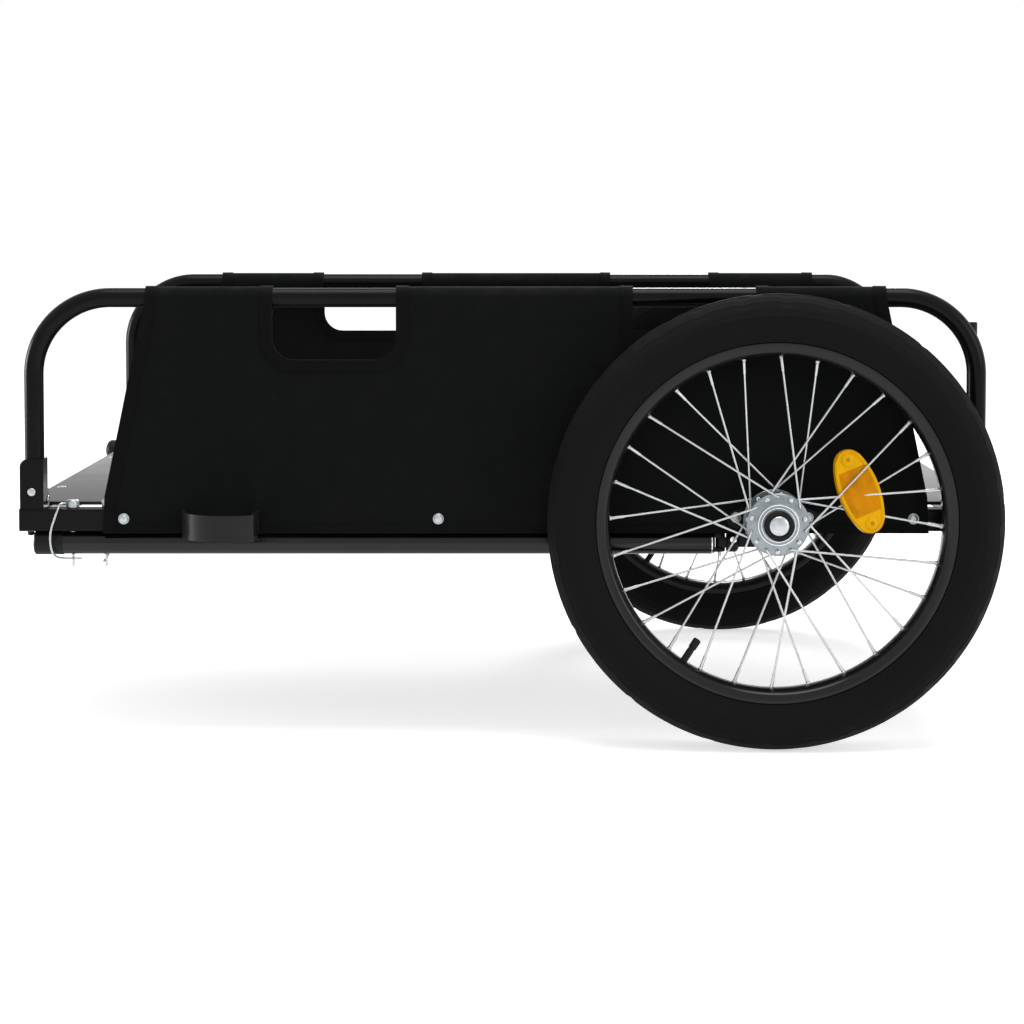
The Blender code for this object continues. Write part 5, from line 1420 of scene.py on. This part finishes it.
class TRAILER_OT_stage(TrailerStep):
    """Makes the floor, the lamps and the camera."""

    bl_idname = "trailer.stage"
    bl_label = "Stage"

    def execute(self, context):
        make_stage()
        return {"FINISHED"}


class TRAILER_OT_frame(TrailerStep):
    """Paints the tubes, brackets and plates, and adds end plugs and welds."""

    bl_idname = "trailer.frame"
    bl_label = "Frame finish"

    def execute(self, context):
        make_frame_finish()
        make_tube_plugs()
        make_bracket_welds()
        return {"FINISHED"}


class TRAILER_OT_floor_board(TrailerStep):
    """Makes the floor board and its rivets."""

    bl_idname = "trailer.floor_board"
    bl_label = "Floor board"

    def execute(self, context):
        make_floor_board()
        return {"FINISHED"}


class TRAILER_OT_fasteners(TrailerStep):
    """Makes the bracket bolts, fold rivets, fabric bolts and axle plate bolts."""

    bl_idname = "trailer.fasteners"
    bl_label = "Fasteners"

    def execute(self, context):
        make_bracket_bolts()
        both_sides(make_side_bolts)
        return {"FINISHED"}


class TRAILER_OT_guard_hoop(TrailerStep):
    """Makes the guard hoop ahead of the left wheel."""

    bl_idname = "trailer.guard_hoop"
    bl_label = "Guard hoop"

    def execute(self, context):
        make_guard_hoop()
        return {"FINISHED"}


class TRAILER_OT_corner_lens(TrailerStep):
    """Makes the lens at the right front corner."""

    bl_idname = "trailer.corner_lens"
    bl_label = "Corner lens"

    def execute(self, context):
        make_corner_lens()
        return {"FINISHED"}


class TRAILER_OT_side_rails(TrailerStep):
    """Makes the two bent rails."""

    bl_idname = "trailer.side_rails"
    bl_label = "Side rails"

    def execute(self, context):
        both_sides(make_side_rail)
        return {"FINISHED"}


class TRAILER_OT_side_fabric(TrailerStep):
    """Makes the cloth of both sides with its tapes and stitches."""

    bl_idname = "trailer.side_fabric"
    bl_label = "Side fabric"

    def execute(self, context):
        both_sides(make_side_fabric)
        return {"FINISHED"}


class TRAILER_OT_flag_holder(TrailerStep):
    """Makes the flag pole's tube."""

    bl_idname = "trailer.flag_holder"
    bl_label = "Flag holder"

    def execute(self, context):
        make_flag_holder()
        return {"FINISHED"}


class TRAILER_OT_wheels(TrailerStep):
    """Makes the tyres, rims, inner tubes and spokes."""

    bl_idname = "trailer.wheels"
    bl_label = "Wheels"

    def execute(self, context):
        for maker in (make_tyre, make_rim, make_inner_tube, make_spokes):
            both_sides(maker)
        return {"FINISHED"}


class TRAILER_OT_hubs(TrailerStep):
    """Makes the hubs, bearings, axles and release buttons."""

    bl_idname = "trailer.hubs"
    bl_label = "Hubs and axles"

    def execute(self, context):
        both_sides(make_hub)
        both_sides(make_axle)
        return {"FINISHED"}


class TRAILER_OT_reflectors(TrailerStep):
    """Makes the spoke reflectors."""

    bl_idname = "trailer.reflectors"
    bl_label = "Reflectors"

    def execute(self, context):
        both_sides(make_reflector)
        return {"FINISHED"}


class TRAILER_OT_tow_bar(TrailerStep):
    """Makes the stowed tow bar with its pins and hitch."""

    bl_idname = "trailer.tow_bar"
    bl_label = "Tow bar"

    def execute(self, context):
        make_tow_bar()
        make_pins()
        make_clevis()
        make_coupler()
        return {"FINISHED"}


STEPS = (TRAILER_OT_stage, TRAILER_OT_frame, TRAILER_OT_floor_board, TRAILER_OT_fasteners,
         TRAILER_OT_guard_hoop, TRAILER_OT_corner_lens, TRAILER_OT_side_rails, TRAILER_OT_side_fabric,
         TRAILER_OT_flag_holder, TRAILER_OT_wheels, TRAILER_OT_hubs, TRAILER_OT_reflectors,
         TRAILER_OT_tow_bar)


class TRAILER_PT_panel(bpy.types.Panel):
    """The sidebar panel with the trailer's settings and steps."""

    bl_idname = "TRAILER_PT_panel"
    bl_label = "Cargo trailer"
    bl_space_type = "VIEW_3D"
    bl_region_type = "UI"
    bl_category = "Trailer"

    def draw(self, context):
        for settings in (context.scene.trailer_colours, context.scene.trailer_sizes):
            box = self.layout.box()
            for name in settings.__annotations__:
                box.prop(settings, name)
        for step in STEPS:
            self.layout.operator(step.bl_idname)


CLASSES = (TrailerColours, TrailerSizes, *STEPS, TRAILER_PT_panel)


def register():
    """Registers the classes and the two groups of settings."""
    for cls in CLASSES:
        bpy.utils.register_class(cls)
    bpy.types.Scene.trailer_colours = bpy.props.PointerProperty(type=TrailerColours)
    bpy.types.Scene.trailer_sizes = bpy.props.PointerProperty(type=TrailerSizes)


def unregister():
    """Takes back what register made."""
    del bpy.types.Scene.trailer_colours
    del bpy.types.Scene.trailer_sizes
    for cls in reversed(CLASSES):
        bpy.utils.unregister_class(cls)


def main():
    """Runs every step."""
    register()
    for step in STEPS:
        group, name = step.bl_idname.split(".")
        getattr(getattr(bpy.ops, group), name)()


if __name__ == "__main__":
    main()
